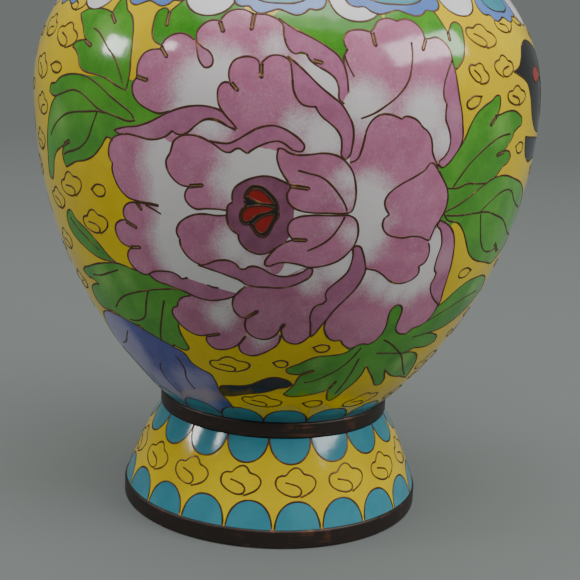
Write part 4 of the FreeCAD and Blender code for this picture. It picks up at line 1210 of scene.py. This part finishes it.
def sow_rest(sheet, shapes, rows, columns, first_s, last_s, gap):
    """Clouds and drops by turns on a staggered lattice, where nothing else is drawn within the gap."""
    rng = np.random.default_rng(SOWING_SEED)
    half = sheet.wall.around / 2
    outlines = [moved for outline in sheet.outlines for moved in sheet.copies(outline)]
    taken = np.concatenate([path for _, path in sheet.wires])
    taken[:, 0] = (taken[:, 0] + half) % sheet.wall.around - half
    for row in range(rows):
        for column in range(columns):
            s = first_s + (last_s - first_s) * (row + rng.uniform(-0.15, 0.15)) / (rows - 1)
            u = (column + 0.5 * (row % 2) + rng.uniform(-0.12, 0.12)) / columns * sheet.wall.around - half
            kind = (row + column) % len(shapes)
            shape, wide, tall = shapes[kind]
            lean, flip = rng.uniform(-12, 12), rng.choice([-1, 1])
            away = np.abs(taken - [u, s])
            away[:, 0] = np.minimum(away[:, 0], sheet.wall.around - away[:, 0])
            near = (away[:, 0] < wide + gap) & (away[:, 1] < tall + gap)
            here = np.array([[u, s]])
            if not near.any() and not any(inside(here, outline)[0] for outline in outlines):
                sow(sheet, shape, u, s, wide, tall, lean, flip)
                taken = np.concatenate([taken, [[u, s]]])


body.move = to_back
leaves(body)
peony(body)
body.move = None
SOWN = [(CLOUD, 4.0, 2.2), (DROP, 2.3, 1.3), (CLOUD, 3.4, 2.0)]
sow_rest(body, SOWN, 11, 27, 8.0, 80.5, 1.4)
sow_rest(body, [(DROP, 2.0, 1.2)], 21, 50, 7.0, 80.0, 1.1)
print(len(body.outlines), "cells and", len(body.wires), "wires once the back is drawn")

# %% Draw the foot and the neck
foot = Drawing(FOOT)
for number in range(16):
    sow(foot, CLOUD, (10.8 + 22.5 * (number - 8)) / 360 * FOOT.around, 8.7, 4.35, 2.75)
scallops(foot, "turquoise", 20, 5.8, FOOT_SCALLOP)
scallops(foot, "turquoise", 18, 4.7, HANGING_SCALLOP, FOOT.high)

neck = Drawing(NECK)
LIP_SCALLOP = [(x, 1.35 * y) for x, y in HANGING_SCALLOP]
COLLAR_SCALLOP = [(x, 1.2 * y) for x, y in FOOT_SCALLOP]
for level, shift, wide, tall in ((11.2, 0.0, 3.3, 1.9), (17.6, 0.5, 3.1, 1.8), (24.2, 0.0, 3.5, 2.0)):
    for number in range(8):
        u = (number + shift) / 8 * NECK.around - NECK.around / 2 + 4.0
        sow(neck, CLOUD if (number + round(level)) % 3 else DROP, u, level, wide, tall, 0,
            1 - 2 * (number % 2))
scallops(neck, "turquoise", 12, 0.0, COLLAR_SCALLOP)
scallops(neck, "blue", 18, 0.0, LIP_SCALLOP, NECK.high)
print(len(foot.wires), "wires on the foot,", len(neck.wires), "on the neck")

# %% Cut the enamel and lay the wire
enamel = {}
metal_wire = {}
for name, drawing in (("foot", foot), ("body", body), ("neck", neck)):
    enamel[name] = enamel_pieces(drawing, f"{name}_enamel")
    metal_wire[name] = wire_piece(drawing, f"{name}_cell_wires")

# %% [markdown]
# ## Finishes
#
# Every finish is made of nodes, and shader sums are easier to read as Python. `Socket` wraps an output
# socket, so `1 - mask` adds a Math node. `Finish.node` makes any other node: its settings first, then its
# values and links. Numbers that are the same all over a surface go straight on the shader.

# %% Shader sums
class Socket:
    """An output socket. Arithmetic on it adds Math nodes."""

    def __init__(self, finish, socket):
        self.finish = finish
        self.socket = socket

    def math(self, operation, first, second):
        return self.finish.node("ShaderNodeMath", {"operation": operation}, {0: first, 1: second})

    def __add__(self, other):
        return self.math("ADD", self, other)

    def __sub__(self, other):
        return self.math("SUBTRACT", self, other)

    def __rsub__(self, other):
        return self.math("SUBTRACT", other, self)

    def __mul__(self, other):
        return self.math("MULTIPLY", self, other)

    __radd__ = __add__
    __rmul__ = __mul__

    def step(self, low, high):
        """0 below low, 1 above high, and a smooth rise between them."""
        return self.finish.node(
            "ShaderNodeMapRange", {"interpolation_type": "SMOOTHSTEP"},
            {"Value": self, "From Min": low, "From Max": high})


class Finish:
    """A material: one Principled shader, and what varies over the surface."""

    def __init__(self, name, **uniform):
        self.material = bpy.data.materials.new(name)
        self.material.use_nodes = True
        self.tree = self.material.node_tree
        self.shader = self.tree.nodes["Principled BSDF"]
        for word, value in uniform.items():
            self.shader.inputs[word.replace("_", " ")].default_value = value
        self.here = self.node("ShaderNodeTexCoord", output="Object")

    def node(self, kind, settings=None, inputs=None, output=0):
        made = self.tree.nodes.new(kind)
        for word, value in (settings or {}).items():
            setattr(made, word, value)
        for word, value in (inputs or {}).items():
            if isinstance(value, Socket):
                self.tree.links.new(value.socket, made.inputs[word])
            else:
                made.inputs[word].default_value = value
        return Socket(self, made.outputs[output])

    def mix(self, factor, first, second, how="MIX"):
        """Two colours mixed by a factor."""
        settings = {"data_type": "RGBA", "blend_type": how}
        return self.node("ShaderNodeMix", settings, {0: factor, 6: first, 7: second}, output=2)

    def noise(self, size, detail=2.0, roughness=0.5):
        """Cloudy noise from 0 to 1 whose lumps are about `size` millimetres across."""
        return self.node("ShaderNodeTexNoise", None, {
            "Vector": self.here, "Scale": 1.0 / (size * MM), "Detail": detail, "Roughness": roughness})

    def dots(self, size):
        """The distance to the nearest of scattered points, about `size` millimetres apart, from 0 to 1."""
        return self.node("ShaderNodeTexVoronoi", None, {"Vector": self.here, "Scale": 1.0 / (size * MM)})

    def attribute(self, word):
        return self.node("ShaderNodeAttribute", {"attribute_name": word}, output="Fac")

    def feed(self, word, value):
        self.tree.links.new(value.socket, self.shader.inputs[word])

    def bump(self, height, distance, strength=1.0):
        self.feed("Normal", self.node("ShaderNodeBump", None, {
            "Height": height, "Distance": distance * MM, "Strength": strength}))


def rgb(red, green, blue):
    """A colour as the eye reads it (0 to 255), turned into light."""
    value = np.array([red, green, blue]) / 255
    light = np.where(value > 0.04045, ((value + 0.055) / 1.055) ** 2.4, value / 12.92)
    return (*light, 1.0)


def paint(piece, finish):
    piece.data.materials.clear()
    piece.data.materials.append(finish.material)


print("white is", rgb(255, 255, 255))

# %% [markdown]
# ## Enamel
#
# The glass is glossy but not flat: firing leaves a faint waviness and grinding opens a few tiny pits, which
# fill with dark polish. Each colour drifts a little from place to place. The petals' pink is ground
# together with white towards the `pale` spots, in specks, as wet powder is when two colours meet.

# %% Enamel finishes
PIT_SIZE = 0.05


def enamel_finish(name, main, second, drift=0.35, cloud=9.0, blend_at=None):
    """Glossy glass. It drifts between two colours; blend_at is the colour at the pale spots."""
    finish = Finish(name, Roughness=0.12, IOR=1.5)
    lumps = finish.noise(cloud, 3.0, 0.6)
    grain = finish.noise(0.5, 2.0, 0.7)
    shade = finish.attribute("shade")
    amount = lumps.step(0.3, 0.7) * drift + grain.step(0.35, 0.7) * 0.25 * drift + shade * 0.4 * drift
    colour = finish.mix(amount, main, second)
    if blend_at:
        pale = finish.attribute("pale")
        specks = finish.noise(0.4, 2.0, 0.8)
        soft = finish.noise(2.6, 2.0, 0.5)
        whiteness = (pale + specks * 0.6 + soft * 0.4 - 0.5).step(-0.08, 0.82)
        colour = finish.mix(whiteness, colour, blend_at)
    holes = finish.dots(1.9)
    hole = 1 - holes.step(0.0, PIT_SIZE)
    rare = finish.noise(3.0, 0.0).step(0.54, 0.56)
    colour = finish.mix(hole * rare, colour, rgb(60, 45, 40))
    finish.feed("Base Color", colour)
    waves = finish.noise(7.0, 2.0, 0.5)
    finish.bump(waves * 0.10 + finish.noise(1.3, 1.0, 0.5) * 0.012 - hole * rare * 0.03, 1.0, 0.8)
    return finish


ENAMELS = {
    "ground": enamel_finish("yellow_glass", rgb(238, 209, 4), rgb(214, 178, 0), drift=0.5, cloud=12.0),
    "pink": enamel_finish("petal_glass", rgb(200, 126, 158), rgb(176, 100, 134), drift=0.6, cloud=5.0,
                          blend_at=rgb(226, 220, 220)),
    "mauve": enamel_finish("rolled_edge_glass", rgb(192, 120, 154), rgb(166, 98, 132), drift=0.7, cloud=4.0,
                           blend_at=rgb(196, 146, 166)),
    "plum": enamel_finish("heart_glass", rgb(158, 94, 124), rgb(132, 72, 100), drift=0.7, cloud=3.0),
    "leaf_green": enamel_finish("leaf_glass", rgb(94, 172, 50), rgb(50, 130, 30), drift=0.6, cloud=8.0,
                                blend_at=rgb(122, 184, 78)),
    "turquoise": enamel_finish("turquoise_glass", rgb(70, 150, 166), rgb(52, 128, 150), drift=0.5, cloud=6.0),
    "blue": enamel_finish("blue_glass", rgb(106, 142, 208), rgb(84, 120, 192), drift=0.5, cloud=6.0),
    "white": enamel_finish("white_glass", rgb(226, 226, 226), rgb(205, 208, 212), drift=0.5, cloud=5.0,
                           blend_at=rgb(232, 232, 230)),
    "lavender": enamel_finish("rock_glass", rgb(84, 90, 168), rgb(62, 68, 146), drift=0.6, cloud=4.0,
                              blend_at=rgb(150, 146, 190)),
    "navy": enamel_finish("branch_glass", rgb(38, 46, 62), rgb(26, 32, 44), drift=0.7, cloud=2.0),
    "black": enamel_finish("black_glass", rgb(30, 30, 32), rgb(20, 20, 22), drift=0.5, cloud=3.0),
    "red": enamel_finish("red_glass", rgb(178, 26, 18), rgb(140, 14, 12), drift=0.5, cloud=2.0),
    "stone": enamel_finish("belly_glass", rgb(130, 150, 160), rgb(100, 120, 132), drift=0.5, cloud=2.0,
                           blend_at=rgb(190, 200, 204)),
}
solder = Finish("solder", Roughness=0.42, Metallic=0.35)
solder.feed("Base Color", solder.mix(solder.noise(0.8), rgb(196, 158, 104), rgb(120, 84, 52)))
ENAMELS["solder"] = solder
for name, pieces in enamel.items():
    for word, piece in pieces.items():
        paint(piece, ENAMELS[word])
print(len(ENAMELS), "finishes for enamel")

# %% [markdown]
# ## Copper
#
# The rings have gone nearly black with age and handling. Red copper shows through where they are rubbed.
# The wires are the same metal, ground bright once and now brown. Painted glints, gold patches scattered by
# noise in their colour, stand in for highlights on them.

# %% Metal finishes
old_copper = Finish("old_copper", Metallic=0.75)
blotch = old_copper.noise(5.0, 4.0, 0.6)
scratch = old_copper.node("ShaderNodeTexNoise", None, {
    "Vector": old_copper.node("ShaderNodeMapping", None, {"Vector": old_copper.here,
                                                          "Scale": (120, 120, 2500)}),
    "Scale": 1.0, "Detail": 3.0})
rubbed = (blotch * 0.7 + scratch * 0.3).step(0.53, 0.72)
old_copper.feed("Base Color", old_copper.mix(rubbed, rgb(66, 58, 54), rgb(128, 86, 64)))
old_copper.feed("Roughness", 0.48 - rubbed * 0.14)
old_copper.bump(scratch * 0.5 + old_copper.noise(0.6) * 0.5, 0.03, 0.6)

wire_metal = Finish("wire_copper", Metallic=0.6, Roughness=0.42)
# painted glints: gold patches scattered by noise in the base colour stand in for highlights on the wire
painted_glint = wire_metal.noise(2.2, 2.0, 0.6).step(0.58, 0.74)
wire_metal.feed("Base Color", wire_metal.mix(painted_glint, rgb(92, 64, 46), rgb(150, 108, 68)))

lining = Finish("lining_glass", Roughness=0.16, IOR=1.5)
lining.feed("Base Color", lining.mix(lining.noise(6.0, 3.0), rgb(70, 158, 172), rgb(52, 128, 150)))
lining.bump(lining.noise(2.0), 0.12, 0.7)

# %% Put the finishes on and stand the new pieces in for the plain ones
for node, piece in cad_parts.items():
    if node.endswith("_ring") or node.endswith("_copper") or node == "base_plate":
        paint(piece, old_copper)
    if node.endswith("_lining"):
        paint(piece, lining)
for piece in metal_wire.values():
    paint(piece, wire_metal)

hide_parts("foot_ground")
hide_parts("foot_lower_lappets", "foot_upper_lappets")
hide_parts("foot_lower_lappet_wires", "foot_upper_lappet_wires", "foot_cloud_wires")
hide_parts("neck_ground")
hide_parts("neck_lower_lappets")
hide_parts("neck_upper_lappets")
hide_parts("neck_lower_lappet_wires", "neck_upper_lappet_wires", "neck_cloud_wires")
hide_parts("body_ground")
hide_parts("body_lower_lappets")
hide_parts("body_collar_petals")
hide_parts("body_collar_lappets")
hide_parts("body_peony_petals", "body_rear_peony_petals")
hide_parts("body_peony_heart", "body_rear_peony_heart")
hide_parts("body_leaves", "body_rear_leaves")
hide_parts("body_rock")
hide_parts("body_branch")
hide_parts("body_bird")
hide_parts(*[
    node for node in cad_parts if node.startswith("body_") and node.endswith(("_wire", "_wires"))])

# %% [markdown]
# ## The studio
#
# A pale floor runs up all round in one soft curve. A long softbox stands high on the right and two small
# lamps on the left, under a wide ceiling of light and a narrower one in front.

# %% Floor and lights
FLOOR_FLAT = 0.75
FLOOR_BEND = 0.35
FLOOR_WALL = 1.1
FLOOR_TOP = 1.6
VASE_MIDDLE = (0, -0.02, 0.09)
bend = np.linspace(0, math.pi / 2, 10)
run = np.concatenate([[0.3, 0.5], FLOOR_FLAT + FLOOR_BEND * np.sin(bend), [FLOOR_WALL]])
rise = np.concatenate([[0.0, 0.0], FLOOR_BEND - FLOOR_BEND * np.cos(bend), [FLOOR_TOP]])
turns = np.linspace(0, 2 * math.pi, 97)[:-1]
rings = np.stack([np.outer(run, np.cos(turns)), np.outer(run, np.sin(turns)),
                  np.repeat(rise[:, None], len(turns), axis=1)], axis=-1)
here = np.arange(len(turns))
beyond = (here + 1) % len(turns)
walls = [np.stack([first + here, first + len(turns) + here, first + len(turns) + beyond, first + beyond],
                  axis=1)
         for first in len(turns) * np.arange(len(run) - 1)]
sweep = bpy.data.meshes.new("floor")
sweep.from_pydata(rings.reshape(-1, 3).tolist(), [], [here.tolist(), *np.concatenate(walls).tolist()])
floor = bpy.data.objects.new("floor", sweep)
bpy.context.scene.collection.objects.link(floor)
plain = Finish("floor_paint", Roughness=0.8)
plain.shader.inputs["Base Color"].default_value = rgb(86, 91, 89)
plain.shader.inputs["Emission Color"].default_value = rgb(190, 196, 194)
plain.shader.inputs["Emission Strength"].default_value = 0.14
paint(floor, plain)
for face in sweep.polygons:
    face.use_smooth = True


def softbox(name, place, target, wide, tall, power):
    """An area light that looks at the target."""
    light = bpy.data.lights.new(name, "AREA")
    light.shape = "RECTANGLE"
    light.size, light.size_y = wide, tall
    light.energy = power
    lamp = bpy.data.objects.new(name, light)
    bpy.context.scene.collection.objects.link(lamp)
    place, target = np.array(place), np.array(target)
    back = (place - target) / np.linalg.norm(place - target)
    side = np.cross([0, 0, 1], back)
    side /= np.linalg.norm(side)
    turn = Matrix([list(row) for row in np.array([side, np.cross(back, side), back]).T]).to_4x4()
    lamp.matrix_world = Matrix.Translation(tuple(place)) @ turn


softbox("right_softbox", (0.62, -0.25, 0.50), VASE_MIDDLE, 0.52, 0.18, 3.6)
softbox("left_softbox", (-0.77, -0.09, 0.38), VASE_MIDDLE, 0.17, 0.12, 1.5)
softbox("left_lamp", (-0.61, -0.42, 0.476), VASE_MIDDLE, 0.07, 0.07, 0.35)
softbox("front_top_softbox", (0.0, -0.38, 0.98), VASE_MIDDLE, 0.6, 0.3, 2.6)
softbox("ceiling", (0.0, -0.1, 1.05), (0, -0.09, 0.0), 1.4, 1.4, 13.5)
world = bpy.data.worlds.new("studio")
world.use_nodes = True
world.node_tree.nodes["Background"].inputs["Color"].default_value = (0.55, 0.57, 0.58, 1.0)
world.node_tree.nodes["Background"].inputs["Strength"].default_value = 0.03
bpy.context.scene.world = world
